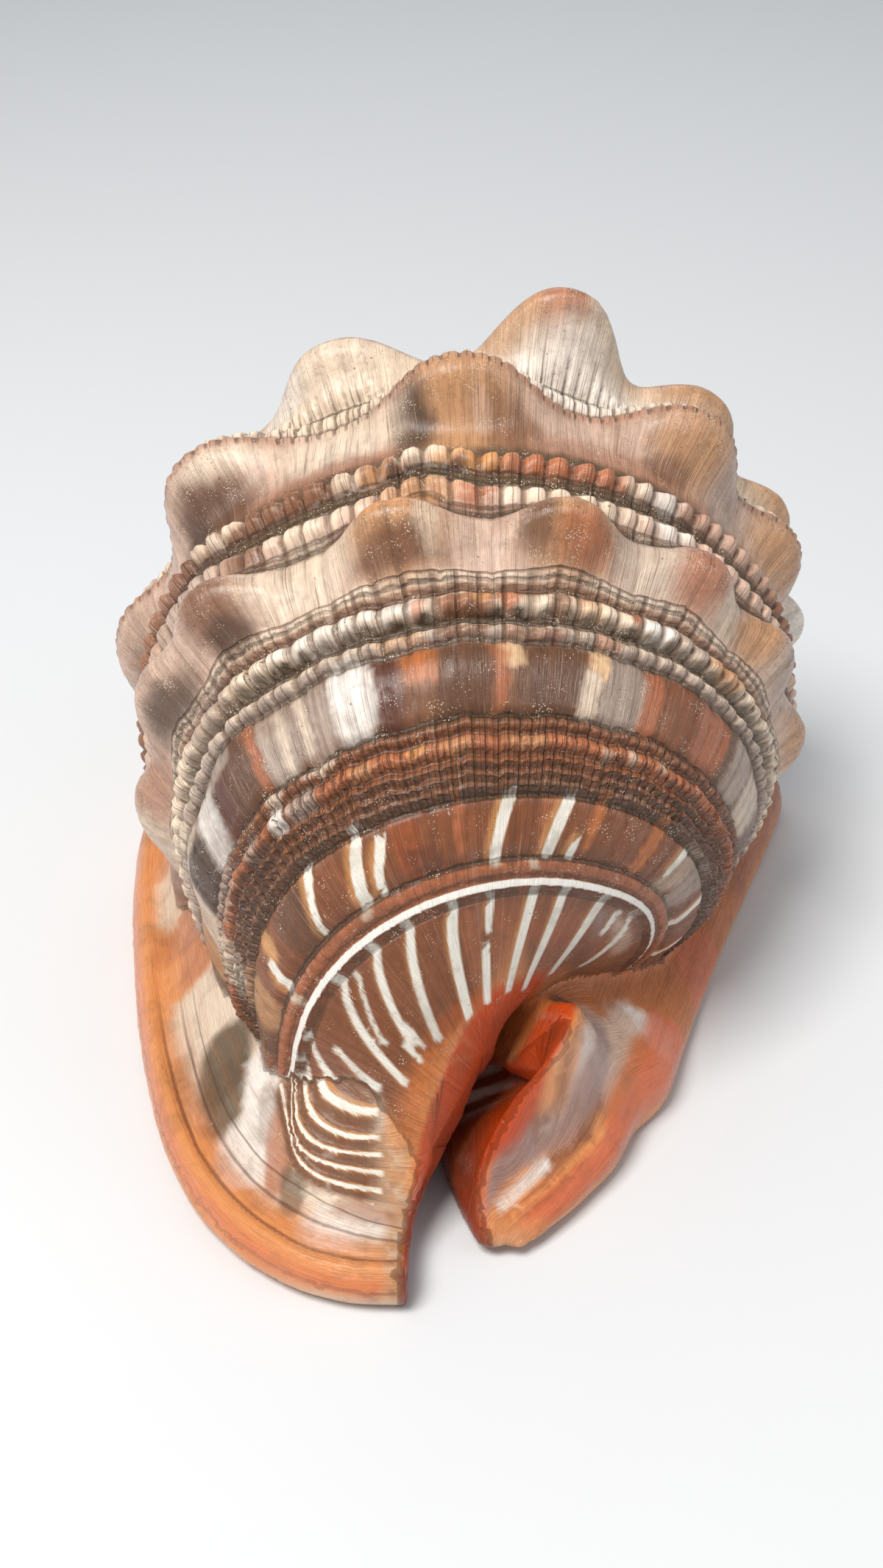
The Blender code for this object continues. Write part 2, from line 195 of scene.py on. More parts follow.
def whorl_radius(angle, h):
    """Radius of one whorl at its own growth angle, with its knobs."""
    g = growth(angle)
    s = h / g
    r = pchip(OUTLINE_H, OUTLINE_R, s)
    r = r * (1 - pinch(angle, s))
    for level, wide, tall, knobs in KNOBS:
        for at, high in knobs:
            for turn in (0, -360, -720):
                da = (angle - at - turn) * math.pi / 180 * np.maximum(r, LEAST_RADIUS) / wide
                ds = (s - level) / tall
                q = da * da + ds * ds
                r = r + high * np.exp(-((q * 0.95) ** 1.3)) * (q < 9)
    return np.where(s < OUTLINE_H[-1], r * g, TIP)


def flat_belly(angle, h, r):
    """The parietal side lies flat above the table."""
    fall = -np.sin(np.radians(angle)) * math.cos(TILT)
    room = APEX[2] - h * math.sin(TILT) - BELLY_LIFT
    limit = np.where(fall > 0.05, room / np.maximum(fall, 0.05), 1e3)
    limit = np.maximum(limit, 1.0)
    return np.where(r < limit - 4, r, limit - 4 + 4 * np.tanh(np.maximum(r - limit + 4, 0) / 4))


def whorl_at(angle, h):
    """Outer radius and which turn shows there."""
    best = np.full(angle.shape, TIP)
    turn = np.zeros(angle.shape, int)
    for n in range(WHORLS):
        r = whorl_radius(angle - 360 * n, h)
        turn = np.where(r > best, n, turn)
        best = np.maximum(best, r)
    return flat_belly(angle, h, best), turn


def alone(obj):
    bpy.ops.object.select_all(action="DESELECT")
    bpy.context.view_layer.objects.active = obj
    obj.select_set(True)


def wrap_grid(name, rings):
    """A grid is bent round through the rings, its seam merged and its ends filled."""
    stations, points, _ = rings.shape
    bpy.ops.object.select_all(action="DESELECT")
    bpy.ops.mesh.primitive_grid_add(x_subdivisions=points, y_subdivisions=stations - 1, size=1)
    obj = bpy.context.active_object
    obj.name = name
    closed = np.concatenate([rings, rings[:, :1]], axis=1) + MIDDLE
    obj.data.vertices.foreach_set("co", (closed * MM).ravel())
    bpy.ops.object.mode_set(mode="EDIT")
    bpy.ops.mesh.select_all(action="SELECT")
    bpy.ops.mesh.remove_doubles(threshold=1e-6)
    bpy.ops.mesh.select_all(action="SELECT")
    bpy.ops.mesh.fill_holes(sides=0)
    bpy.ops.mesh.select_all(action="SELECT")
    bpy.ops.mesh.normals_make_consistent(inside=False)
    bpy.ops.object.mode_set(mode="OBJECT")
    return obj


def through(table, count):
    """Count rows run smoothly through the rows of a table, each column on its own."""
    table = np.asarray(table, float)
    rows = np.arange(len(table))
    at = np.linspace(0, len(table) - 1, count)
    columns = table.reshape(len(table), -1).T
    return np.stack([pchip(rows, column, at) for column in columns], 1).reshape(count, *table.shape[1:])


def rails(table, stations, around):
    """Rings from a table (rows, rail points, 3): smooth along and round."""
    along = through(table, stations)
    points = along.shape[1]
    t = np.linspace(0, points, around, endpoint=False)
    i = np.floor(t).astype(int)
    f = (t - i)[None, :, None]
    p = [along[:, (i + o) % points] for o in (-1, 0, 1, 2)]
    return 0.5 * (
        2 * p[1]
        + (p[2] - p[0]) * f
        + (2 * p[0] - 5 * p[1] + 4 * p[2] - p[3]) * f * f
        + (3 * p[1] - p[0] - 3 * p[2] + p[3]) * f**3
    )


def apply(obj, kind, **settings):
    mod = obj.modifiers.new(kind.lower(), kind)
    for key, value in settings.items():
        setattr(mod, key, value)
    alone(obj)
    bpy.ops.object.modifier_apply(modifier=mod.name)


def join(objects, name):
    bpy.ops.object.select_all(action="DESELECT")
    for obj in objects:
        obj.select_set(True)
    bpy.context.view_layer.objects.active = objects[0]
    bpy.ops.object.join()
    objects[0].name = name
    return objects[0]


# The slit between the lips: position along y, centre and half width.
SLIT_Y = (-46, -38, -20, 0, 20, 38, 50)
SLIT_X = (-7.6, -8.6, -10.2, -12.0, -14.0, -15.0, -14.0)
SLIT_W = (4.7, 4.5, 4.3, 4.2, 4.2, 4.0, 2.8)
TOOTH_PITCH = 4.3
TOOTH_WAVE = 0.9


def body():
    angles = np.arange(LIP_ANGLE - 360, LIP_ANGLE, 1.5)
    h = np.concatenate([np.linspace(0.2, 30, 60), np.linspace(31, 90, 60), np.linspace(91, 138, 60)])
    a, hh = np.meshgrid(angles, h)
    r, _ = whorl_at(a, hh)
    keep = [i for i in range(len(h)) if r[i].max() > 0.5]
    return wrap_grid("body whorl", place(a, hh, r)[keep])


# Outer lip stations: rim x, y; inward x, y; foot distance and height; y of the
# inner rails; x, z over the middle; x, z of the inner top.
LIP = (
    (-22, 59, 0.30, -0.95, 5, 14, 52, -20, 18, -17, 13),
    (-39, 55, 0.60, -0.80, 5, 14, 48, -33, 19, -18, 13),
    (-50, 46.5, 0.90, -0.45, 6, 14, 42, -36, 18, -20, 13),
    (-54.4, 36, 1.0, -0.15, 6, 14, 34, -40, 18, -21, 13),
    (-55.7, 25, 1.0, 0.0, 6.5, 14, 24, -40, 18, -21, 13),
    (-54.8, 11, 1.0, 0.02, 8, 15, 11, -38, 18, -19, 13),
    (-52.3, -6, 0.98, 0.12, 10, 15, -4, -34, 18, -17, 13),
    (-48.9, -24, 0.95, 0.22, 13, 15.5, -20, -28, 18, -15, 13),
    (-44.6, -40, 0.88, 0.40, 14, 15.5, -33, -22, 19, -12, 15),
    (-39.9, -51.8, 0.80, 0.52, 13, 14.5, -42, -17, 22, -3, 20),
    (-33.7, -61.5, 0.68, 0.70, 11.5, 13, -50, -12, 23, 0.5, 23.5),
    (-27, -68, 0.50, 0.85, 9, 11.5, -56, -12, 16.5, -2.5, 15.5),
    (-19.7, -72.3, 0.28, 0.95, 7.5, 10, -61, -12, 12, -4.5, 10.5),
    (-12, -74.2, 0.08, 1.0, 6, 8, -65, -9.5, 8.6, -5.6, 7),
    (-5.0, -74.4, 0.0, 1.0, 5, 6.8, -69, -6, 6.8, -5, 6),
)


def slit_centre(y):
    return pchip(SLIT_Y, SLIT_X, y)


def outer_lip():
    rows = []
    for x, y, nx, ny, foot, high, ys, mx, mz, tx, tz in LIP:
        edge = float(slit_centre(ys)) - 1.0
        if ys < -46:
            edge = max(edge, tx + 0.5)

        def at(d, z):
            return (x + nx * d, y + ny * d, z)

        rows.append(
            [
                at(1.2, 0.4),
                at(0.0, 3.6),
                at(1.8, 7.6),
                at(5.6, 7.4),
                at(foot, high),
                (mx, ys, mz),
                (tx, ys, tz),
                (edge, ys, min(5.5, tz - 0.6)),
                (edge - 1, ys, 1.2),
                ((x + edge) / 2, (y + ys) / 2, -0.8),
            ]
        )
    return wrap_grid("outer lip", rails(rows, 150, 90))


# Inner lip and columellar wall, from the spire end to the tip of the canal. Each
# row: slit foot, slit face, crest in, crest out, outer foot, mid face, rim inner,
# rim top, rim outer, rim under, underside.
SHIELD = (
    (
        (-12, 54, 2), (-8, 53, 8), (0, 50, 14), (10, 50, 16), (18, 51, 15), (22, 53, 13), (27, 56, 11),
        (29, 58, 8), (30, 59, 5), (28, 57, -0.5), (10, 54, 1),
    ),
    (
        (-12, 44, 1.3), (-9, 44, 8), (0, 44, 16), (15, 44, 20), (30, 45, 18), (38, 47, 14), (45, 50, 10.5),
        (48, 51, 8), (50, 52, 5), (47, 50, -0.5), (18, 46, 1.9),
    ),
    (
        (-12, 32, 1.3), (-9, 32, 8), (0, 32, 16), (20, 32, 22), (38, 33, 18), (48, 36, 12), (55, 39, 9),
        (58.5, 40.5, 7.5), (61, 41.5, 4.5), (58, 40, -0.5), (22, 35, 1.9),
    ),
    (
        (-11, 20, 1.3), (-8, 20, 8), (0, 20, 16), (20, 20, 22), (36, 21, 18), (45, 24, 12), (52, 27.5, 8),
        (55.5, 29, 7), (57.8, 30, 4), (54.5, 28.5, -0.5), (20, 22, 1.9),
    ),
    (
        (-9, 6, 1.3), (-6, 6, 8), (0, 6, 16), (18, 6, 22), (32, 8, 18), (40, 11, 12.5), (46, 13.5, 8.5),
        (49.5, 15, 7), (52, 16, 4), (49, 14.5, -0.5), (18, 10, 1.9),
    ),
    (
        (-7.5, -8, 1.3), (-5, -8, 8), (0, -8, 15), (14, -8, 22), (26, -7, 19), (33, -4, 14), (39, -1.5, 9.5),
        (43, 0, 7.5), (46, 1, 4), (43, 0, -0.5), (16, -4, 1.9),
    ),
    (
        (-6, -22, 1.3), (-4, -22, 8), (0, -22, 15), (9, -22, 22), (18, -22, 21), (26, -19, 15.5),
        (33, -16.5, 10.5), (37, -15, 8), (40.5, -14, 4.2), (37, -15, -0.5), (15, -19, 1.9),
    ),
    (
        (-5, -34, 1.3), (-3.5, -34, 7), (2, -34, 13), (9, -35, 22), (15, -34.5, 21.5), (21, -31, 16.5),
        (28, -28.5, 11.5), (32.5, -27, 8.8), (36, -26, 4.5), (33, -27, -0.5), (14, -31, 1.9),
    ),
    (
        (-3.5, -44, 1.3), (-2.5, -44, 6), (5, -43.5, 14), (16, -44, 27.5), (18.5, -42.5, 25),
        (21.6, -40.4, 16.5), (26, -38.5, 12), (29.5, -37.5, 9.5), (32.2, -36.5, 5), (29.5, -37.5, -0.5),
        (13, -41, 1.9),
    ),
    (
        (-1.8, -51, 1.3), (-1.4, -51, 6.5), (6, -50, 14.5), (13.6, -50, 25), (15.6, -48.8, 23.5),
        (20, -46, 13.5), (22.6, -44.2, 10.8), (25, -43.2, 8.8), (27.3, -42.3, 5), (25, -43.2, -0.5),
        (11, -47, 1.9),
    ),
    (
        (-0.4, -56, 1.3), (0, -56, 5), (4, -54.2, 10.5), (8, -53, 19.5), (9.8, -52.4, 18.8), (13.3, -52, 9),
        (17.5, -50.5, 7.8), (21.5, -49.8, 7.5), (24, -49.2, 4.6), (21.5, -50, -0.5), (9, -53, 1.9),
    ),
    (
        (1, -60, 1.3), (1.2, -60, 3), (2.4, -58.6, 7), (3.8, -57.6, 12.2), (5.4, -57.2, 11.6), (8, -56.4, 6.8),
        (12, -55.6, 6.2), (16.5, -55.8, 6.2), (19, -55.6, 4), (16.5, -56, -0.5), (8, -58, 1.9),
    ),
    (
        (2.7, -63.5, 1.3), (2.6, -63.4, 2), (2.6, -62.6, 4.4), (3.2, -61.8, 6.9), (4.4, -61.2, 6.6),
        (6.2, -60.4, 4.8), (9, -60.2, 4.6), (12, -60.8, 4.8), (14.2, -61, 3.2), (12, -61.4, 1.2), (7, -62, 1.9),
    ),
    (
        (4.6, -65.6, 1.3), (4.4, -65.5, 1.6), (4.4, -65, 2.8), (5, -64.6, 3.6), (5.6, -64.2, 3.6),
        (6.6, -64, 3.2), (7.8, -64.2, 3.2), (8.8, -64.6, 3.2), (9.4, -65, 2.4), (8.6, -65.4, 1.2),
        (6.6, -65.6, 1.9),
    ),
)


def inner_lip():
    return wrap_grid("inner lip", rails(SHIELD, 150, 99))


def hollow_of_whorl():
    """The hollow of the last whorl, opening down to the slit."""
    outer_s = (23, 26, 36, 48, 58, 70, 82, 92, 100, 105, 109)
    inner_s = (110, 104, 95, 86, 79, 75, 71, 64, 54, 42, 30, 24)
    rows = []
    for angle in (248, 240, 230, 220, 208, 195, 180, 160, 140, 120, 100, 80, 60, 40, 20, 0, -20, -40, -60):
        g = growth(min(angle, LIP_ANGLE))
        ring = []
        into = smooth(200, 240, angle)
        near = smooth(70, 140, angle)
        wide = near * (1 - smooth(165, 200, angle))
        for s in outer_s:
            s = min(s, 109 - 7 * near)
            r = (float(pchip(OUTLINE_H, OUTLINE_R, s)) - WALL) * g
            r *= 1 - float(pinch(angle, s))
            ring.append((s * g, r))
        for s in inner_s:
            older = float(pchip(OUTLINE_H, OUTLINE_R, s * WHORL_RATIO)) / WHORL_RATIO + 1.2
            s = min(s, 109 - 7 * near)
            r = max(COLUMN + COLUMN_SWELL * wide, older if s * WHORL_RATIO < 115 else 0.0) * g
            r = r * (1 - into) + COLUMN * into
            ring.append((s * g, r))
        points = []
        for h, r in ring:
            h = h * (1 - into) + (18 + (h - 18) * 0.82) * into
            fall = -math.sin(math.radians(angle)) * math.cos(TILT)
            room = APEX[2] - h * math.sin(TILT) - LIP_FLOOR
            if fall > 0.05:
                r = min(r, room / fall)
            points.append(place(np.array(float(angle)), np.array(h), np.array(r)))
        rows.append(points)
    return wrap_grid("hollow of whorl", rails(rows, 90, 69))


def slit():
    rows = []
    for y in np.linspace(50, -46, 193):
        c = float(pchip(SLIT_Y, SLIT_X, y))
        w = float(pchip(SLIT_Y, SLIT_W, y))
        wave = TOOTH_WAVE * math.sin(2 * math.pi * y / TOOTH_PITCH)
        rows.append(
            [
                (c - w - 1.5, y, -3),
                (c - w - 0.4 + wave * 0.8, y, 1.2),
                (c - w + wave, y, 4),
                (c - w - 0.6 + wave * 0.3, y, 7.5),
                (c - w - 2.5, y, 11),
                (c - w - 2.5, y, 15),
                (c + w + 1.0, y, 15),
                (c + w + 0.6, y, 11),
                (c + w + 0.2 + wave * 0.4, y, 7.5),
                (c + w - wave * 0.7, y, 4),
                (c + w + 0.5 - wave * 0.5, y, 1.2),
                (c + w + 1.8, y, -3),
            ]
        )
    return wrap_grid("slit", np.array(rows, float))


# The siphonal canal: y and eleven x, z pairs round its section.
CANAL = (
    (
        -36, (-12.5, -3), (-5, -3), (-4, 5), (2, 8), (6, 9.5), (8, 11), (5, 13), (0, 14), (-5, 14), (-9, 13),
        (-13, 6),
    ),
    (
        -43, (-12, -3), (-3.5, -3), (-3, 5), (4, 9), (8, 11), (11, 13), (8, 15), (3, 15.5), (-2, 15.5),
        (-8, 14), (-12.5, 6),
    ),
    (
        -45.6, (-11.7, -3), (-3.2, -3), (-2.8, 5), (6, 11), (11.5, 14), (14.5, 16), (12, 17), (7, 16.5),
        (1, 15.5), (-7, 13), (-12, 6.5),
    ),
    (
        -46.4, (-11.5, -3), (-3, -3), (-2.5, 5), (9, 13.5), (14.5, 20), (16.3, 36), (8.6, 36), (9, 24),
        (9.2, 16.5), (-3, 13.5), (-12, 7),
    ),
    (
        -49, (-10.5, -3), (-2.2, -3), (-1.7, 6), (8.8, 14.5), (13.4, 24), (16, 38), (3.2, 38), (4, 24),
        (4.8, 15.5), (-5, 12), (-11, 6),
    ),
    (
        -52, (-9.5, -3), (-1.4, -3), (-1, 6), (5.8, 12), (8.8, 21), (14, 38), (0.4, 38), (1.2, 22), (2.2, 13.5),
        (-5, 10.5), (-10, 5),
    ),
    (
        -56, (-8.5, -3), (-0.4, -3), (0.2, 4), (3, 8.5), (4.6, 15), (12, 38), (-2, 38), (-1.7, 16), (-1, 10),
        (-5, 8), (-9, 4.5),
    ),
    (
        -60, (-8, -3), (1, -3), (1.4, 3), (2.0, 6), (2.7, 10), (10, 38), (-4.2, 38), (-4.1, 12), (-4, 8),
        (-5.8, 6), (-8, 3),
    ),
    (
        -64, (-7, -3), (2.7, -3), (2.8, 1.5), (3, 3), (3.1, 6), (8, 38), (-5.6, 38), (-5.6, 8), (-5.7, 5),
        (-6.2, 4), (-7, 2),
    ),
    (
        -68, (-6.4, -3), (7.0, -3), (7.2, 1.5), (7.4, 3), (7.5, 5), (8, 38), (-6.1, 38), (-6.1, 6), (-6.2, 5),
        (-6.3, 4), (-6.4, 2),
    ),
    (
        -82, (-6.6, -3), (12, -3), (12, 1.5), (12, 3), (12, 5), (12, 38), (-6.6, 38), (-6.6, 6), (-6.6, 5),
        (-6.6, 4), (-6.6, 2),
    ),
)


def canal():
    return wrap_grid("canal", through([[(x, y, z) for x, z in points] for y, *points in CANAL], 91))


def table_block():
    bpy.ops.object.select_all(action="DESELECT")
    bpy.ops.mesh.primitive_cube_add(size=1, location=(0, 0, -10 * MM))
    block = bpy.context.active_object
    block.scale = (0.3, 0.3, 20 * MM)
    bpy.ops.object.transform_apply(location=True, rotation=False, scale=True)
    block.name = "table block"
    return block


def surface_of(obj):
    """A search tree over the object's surface, for telling which part a point is on."""
    return BVHTree.FromObject(obj, bpy.context.evaluated_depsgraph_get())


def how_far(tree, points):
    return np.array([tree.find_nearest(Vector(p))[3] for p in points]) / MM


def points_of(obj):
    co = np.empty(len(obj.data.vertices) * 3)
    obj.data.vertices.foreach_get("co", co)
    return co.reshape(-1, 3)


def normals_of(obj):
    n = np.empty(len(obj.data.vertices) * 3)
    obj.data.vertex_normals.foreach_get("vector", n)
    return n.reshape(-1, 3)


class Spots:
    """Where each point of the surface lies on the shell: angle, level, part and rims."""

    def __init__(self, co, trees):
        p = co / MM - MIDDLE
        self.p = p
        d = p - APEX
        self.h = d @ DOWN
        side, back = d @ SIDE, d @ BACK
        self.r = np.hypot(side, back)
        angle = np.degrees(np.arctan2(back, side))
        angle = np.where(angle < LIP_ANGLE - 360, angle + 360, angle)
        self.angle = angle
        self.outer, turn = whorl_at(angle, self.h)
        self.own = angle - 360 * turn
        self.g = growth(self.own)
        self.s = np.clip(self.h / self.g, 0, 120)
        far = {name: how_far(tree, co) for name, tree in trees.items()}
        far["body"] = np.abs(self.r - self.outer)
        self.inside = 1 - smooth(0.4, 1.7, far["hollow"])
        out = np.minimum(far["lip"], far["shield"])
        self.body = smooth(-0.5, 0.9, out - far["body"]) * (1 - self.inside)
        self.lip = (1 - self.body) * (1 - self.inside) * (far["lip"] < far["shield"])
        self.shield = (1 - self.body) * (1 - self.inside) * (far["lip"] >= far["shield"])
        self.lip_rim, self.lip_way = rim_distance(p, lip_rim_line())
        self.shield_rim, self.shield_way = rim_distance(p, shield_rim_line())


def lip_rim_line():
    return through([row[:2] for row in LIP], RIM_POINTS)


def shield_rim_line():
    return through([row[RIM_OUTER][:2] for row in SHIELD], RIM_POINTS)


def rim_distance(p, line):
    """Distance in plan to the rim, and how far along the rim the nearest point is."""
    way = np.concatenate([[0], np.cumsum(np.linalg.norm(np.diff(line, axis=0), axis=1))])
    near = np.full(len(p), 1e9)
    at = np.zeros(len(p))
    for q, w in zip(line, way):
        d = np.hypot(p[:, 0] - q[0], p[:, 1] - q[1])
        closer = d < near
        near = np.where(closer, d, near)
        at = np.where(closer, w, at)
    return near, at


def wander(x, seed):
    """A slow uneven wave between about -1 and 1."""
    return (
        0.5 * np.sin(x * 1.0 + seed)
        + 0.3 * np.sin(x * 2.37 + seed * 1.7)
        + 0.2 * np.sin(x * 4.91 + seed * 2.9)
    )


# Spiral cords: level, half width, height, and how deep the notches between beads are.
CORDS = (
    (29.0, 2.0, 0.80, 0.60), (32.8, 1.9, 1.00, 0.60), (35.7, 1.1, 0.50, 0.50), (51.6, 2.2, 2.20, 0.45),
    (54.6, 0.5, 0.55, 0.2), (55.9, 0.5, 0.55, 0.2), (58.6, 2.2, 1.75, 0.45), (61.5, 0.5, 0.40, 0.3),
    (71.3, 0.45, 0.40, 0.3), (72.3, 0.45, 0.40, 0.3), (75.1, 1.9, 1.90, 0.45), (77.6, 0.4, 0.35, 0.0),
    (79.3, 1.15, 1.25, 0.45), (91.0, 0.95, 1.00, 0.45), (93.4, 1.25, 1.40, 0.45), (95.5, 0.75, 1.00, 0.45),
    (96.9, 0.65, 0.90, 0.45), (98.1, 0.6, 0.70, 0.45), (104.9, 0.6, 0.40, 0.2), (106.25, 0.5, 0.50, 0.0),
)
# Broad sandy furrows: level, half width, depth.
GROOVES = (
    (30.8, 0.5, 0.3), (34.4, 0.6, 0.3), (48.6, 1.2, 0.6), (55.2, 1.3, 0.8), (62.2, 0.8, 0.5), (73.1, 0.6, 0.5),
    (77.1, 0.6, 0.8), (80.8, 0.6, 0.4), (89.9, 0.5, 0.5), (98.9, 0.4, 0.5), (104.2, 0.4, 0.4),
)
# Thin dark lines between cords, deepened as painted shade in the grooves: level, half width.
SEAMS = (
    (30.9, 0.2), (34.5, 0.3), (49.3, 0.3), (53.9, 0.4), (55.2, 0.25), (56.3, 0.4), (60.9, 0.3), (62.0, 0.25),
    (70.9, 0.16), (71.8, 0.18), (72.9, 0.35), (77.0, 0.42), (77.95, 0.22), (80.55, 0.3), (89.9, 0.35),
    (92.1, 0.32), (94.75, 0.32), (96.2, 0.26), (97.5, 0.22), (98.85, 0.36), (104.25, 0.3), (105.6, 0.14),
    (106.85, 0.14),
)
# The white line round the base lies on this level.
RING_LEVEL = 106.25
# Levels between which beads and riblets are parted by notches painted dark as shade, and how softly that
# begins.
BEADED = ((29.6, 36.6, 2.4), (49.0, 62.4, 0.5), (71.0, 81.0, 0.5), (89.8, 99.0, 0.5))


def knob_field(spot):
    """1 on top of a knob, 0 between knobs."""
    best = np.zeros(len(spot.own))
    r = np.maximum(pchip(OUTLINE_H, OUTLINE_R, spot.s), LEAST_RADIUS)
    for level, wide, tall, knobs in KNOBS[:3]:
        for at, _ in knobs:
            for turn in (0, -360):
                da = np.radians(spot.own - at - turn) * r / wide
                ds = (spot.s - level) / tall
                best = np.maximum(best, np.exp(-(da * da + ds * ds)))
    return best


def bead_phase(angle, s):
    """Counts beads along a cord; the notches lie at whole numbers."""
    pitch = np.select([s < 42, s < 66, s < 86], [2.1, 3.7, 4.0], 2.3)
    return angle / pitch + 0.22 * wander(angle * 1.3 / pitch, 0.7)


def cord_level(angle, s):
    """The level with the cords' own waves taken out, so that each cord lies at its number."""
    near_b = smooth(45, 49, s) * (1 - smooth(56, 62, s))
    arch = 3.0 * np.exp(-(((angle - 100) / 5.0) ** 2))
    arch = arch + 3.4 * smooth(126, 141, angle) * (1 - smooth(150, 170, angle))
    low = smooth(54, 58, s) * (1 - smooth(61, 66, s))
    arch = arch * near_b + low * 1.3 * np.exp(-(((angle - 103) / 7.0) ** 2))
    ripple = 0.35 * wander(angle * 0.33, 1.3) * smooth(68, 73, s) * (1 - smooth(97, 99, s))
    line = -0.5 * (1 - smooth(20, 60, angle)) - 0.35 * smooth(165, 200, angle)
    return s + arch + ripple - line * smooth(101, 104, s)


def relief(spot):
    """Height of cords, beads and grooves over the smooth whorl, and how deep the grooves are."""
    a = spot.angle
    s = cord_level(a, spot.s)
    phase = bead_phase(a, s)
    gap = (1 - np.abs(np.sin(math.pi * phase))) ** 1.3
    half_gap = (1 - np.abs(np.sin(2 * math.pi * phase))) ** 2.5
    high = np.zeros(len(a))
    for level, half, height, depth in CORDS:
        across = np.clip(np.abs(s - level) / half, 0, 1)
        lift = np.cos(across * math.pi / 2) ** 1.1 * height
        high += lift * (1 - depth * 1.6 * gap - 0.35 * depth * half_gap)
    sunk = np.zeros(len(a))
    for level, half, depth in GROOVES:
        q = np.exp(-(((s - level) / half) ** 2))
        high -= q * depth
        sunk = np.maximum(sunk, q * min(1.0, depth * 1.4))
    # Growth rests: narrow furrows down the whole whorl, unevenly spaced.
    rest = a / 6.1 + 0.3 * wander(a * 0.31, 5.1)
    furrow = (1 - np.abs(np.sin(math.pi * rest))) ** 5 * smooth(30, 45, s) * (1 - smooth(104, 106, s))
    high -= 0.30 * furrow
    return high, np.clip(np.maximum(sunk, 0.35 * furrow), 0, 1)


# Grooves along the front of the outer lip: distance from the rim, depth; and the dark
# growth rests that lie in them: distance from the rim, half width.
LIP_GROOVES = ((3.3, 0.75), (6.6, 0.5), (8.6, 0.25))
LIP_RESTS = ((3.3, 0.30), (6.6, 0.22), (8.6, 0.12))
# How far beyond the outermost plaits the next whole count would lie.
PLAIT_PITCH = 1.6
# White plaits where the base runs out on to the outer lip, in plan: start, middle
# and end points.
PLAITS = (
    (-10.6, -46.2, -8.6, -49.6, -4.8, -51.6),
    (-15.0, -47.2, -12.6, -51.2, -6.8, -53.6),
    (-19.3, -48.3, -16.6, -53.5, -9.0, -54.9),
    (-21.0, -48.7, -18.3, -55.4, -9.8, -57.0),
    (-22.5, -50.8, -19.4, -57.0, -11.0, -58.6),
    (-22.8, -52.6, -20.0, -58.4, -10.7, -60.4),
    (-22.6, -55.6, -18.8, -60.9, -10.9, -62.2),
)


def bow_points(x0, y0, xm, ym, x1, y1, count=25):
    """A curved stroke through three points."""
    t = np.linspace(0, 1, count)
    xc, yc = 2 * xm - (x0 + x1) / 2, 2 * ym - (y0 + y1) / 2
    px = (1 - t) ** 2 * x0 + 2 * t * (1 - t) * xc + t * t * x1
    py = (1 - t) ** 2 * y0 + 2 * t * (1 - t) * yc + t * t * y1
    return t, px, py


def bow(x, y, path, w0, w1):
    """Distance inside a curved stroke; below 0 outside."""
    best = np.full(len(x), -9.0)
    for t, px, py in zip(*bow_points(*path)):
        best = np.maximum(best, w0 + (w1 - w0) * t - np.hypot(x - px, y - py))
    return best


def beside(x, y, path):
    """Signed distance from a curved stroke, positive on its outer, lower left side, and how far along it."""
    best = np.full(len(x), 1e9)
    side = np.zeros(len(x))
    along = np.zeros(len(x))
    t, px, py = bow_points(*path)
    for i in range(len(t)):
        d = np.hypot(x - px[i], y - py[i])
        j, k = max(i - 1, 0), min(i + 1, len(t) - 1)
        tx, ty = px[k] - px[j], py[k] - py[j]
        length = math.hypot(tx, ty)
        sign = ((x - px[i]) * ty - (y - py[i]) * tx) / length
        past = ((x - px[i]) * tx + (y - py[i]) * ty) / length
        closer = d < best
        best = np.where(closer, d, best)
        side = np.where(closer, sign, side)
        along = np.where(closer, t[i] + past / 12.0, along)
    return side, along


def plaits(spot):
    """White plaits of the base: a count that is whole along each plait, and where they lie."""
    x, y, z = spot.p.T
    near = (y < -44.5) & (x < -2) & (x > -27) & (z > 7)
    sides, ends = (np.array(each) for each in zip(*(beside(x[near], y[near], path) for path in PLAITS)))
    last = len(PLAITS) - 1
    local = np.where(sides[0] < 0, sides[0] / PLAIT_PITCH, 0.0)
    for i in range(last):
        between = (sides[i] >= 0) & (sides[i + 1] < 0)
        local = np.where(between, i + sides[i] / np.maximum(sides[i] - sides[i + 1], 1e-6), local)
    local = np.where(sides[last] >= 0, last + sides[last] / PLAIT_PITCH, local)
    end = ends.max(axis=0)
    here = smooth(-0.9, -0.4, local) * (1 - smooth(last + 0.5, last + 0.95, local))
    here = here * (1 - smooth(0.93, 1.2, end))
    count = np.full(len(x), 0.5)
    count[near] = local
    region = np.zeros(len(x))
    region[near] = here * smooth(-0.12, 0.0, end)
    return count, region * (1 - spot.inside) * smooth(0.3, 0.7, spot.lip)


def lamellae(rim, way, seed):
    """Thin layers laid down along a rim."""
    line = rim + 0.5 * wander(way * 0.12, seed)
    second = line * 5.3 + 1.3 * wander(way * 0.05, 2)
    return 0.5 * np.sin(line * 2.6 + seed) + 0.3 * np.sin(second) + 0.2 * np.sin(line * 9.1)


def teeth(p):
    """White teeth across both lips beside the slit, and how far out they reach."""
    off = p[:, 0] - slit_centre(p[:, 1])
    phase = np.sin(2 * math.pi * p[:, 1] / TOOTH_PITCH)
    reach = (1 - smooth(8, 15, np.abs(off))) * smooth(-50, -44, p[:, 1]) * (1 - smooth(46, 52, p[:, 1]))
    return phase, reach, off


def cut(shell, tool):
    apply(shell, "BOOLEAN", operation="DIFFERENCE", object=tool, solver="EXACT")
    bpy.data.objects.remove(tool)


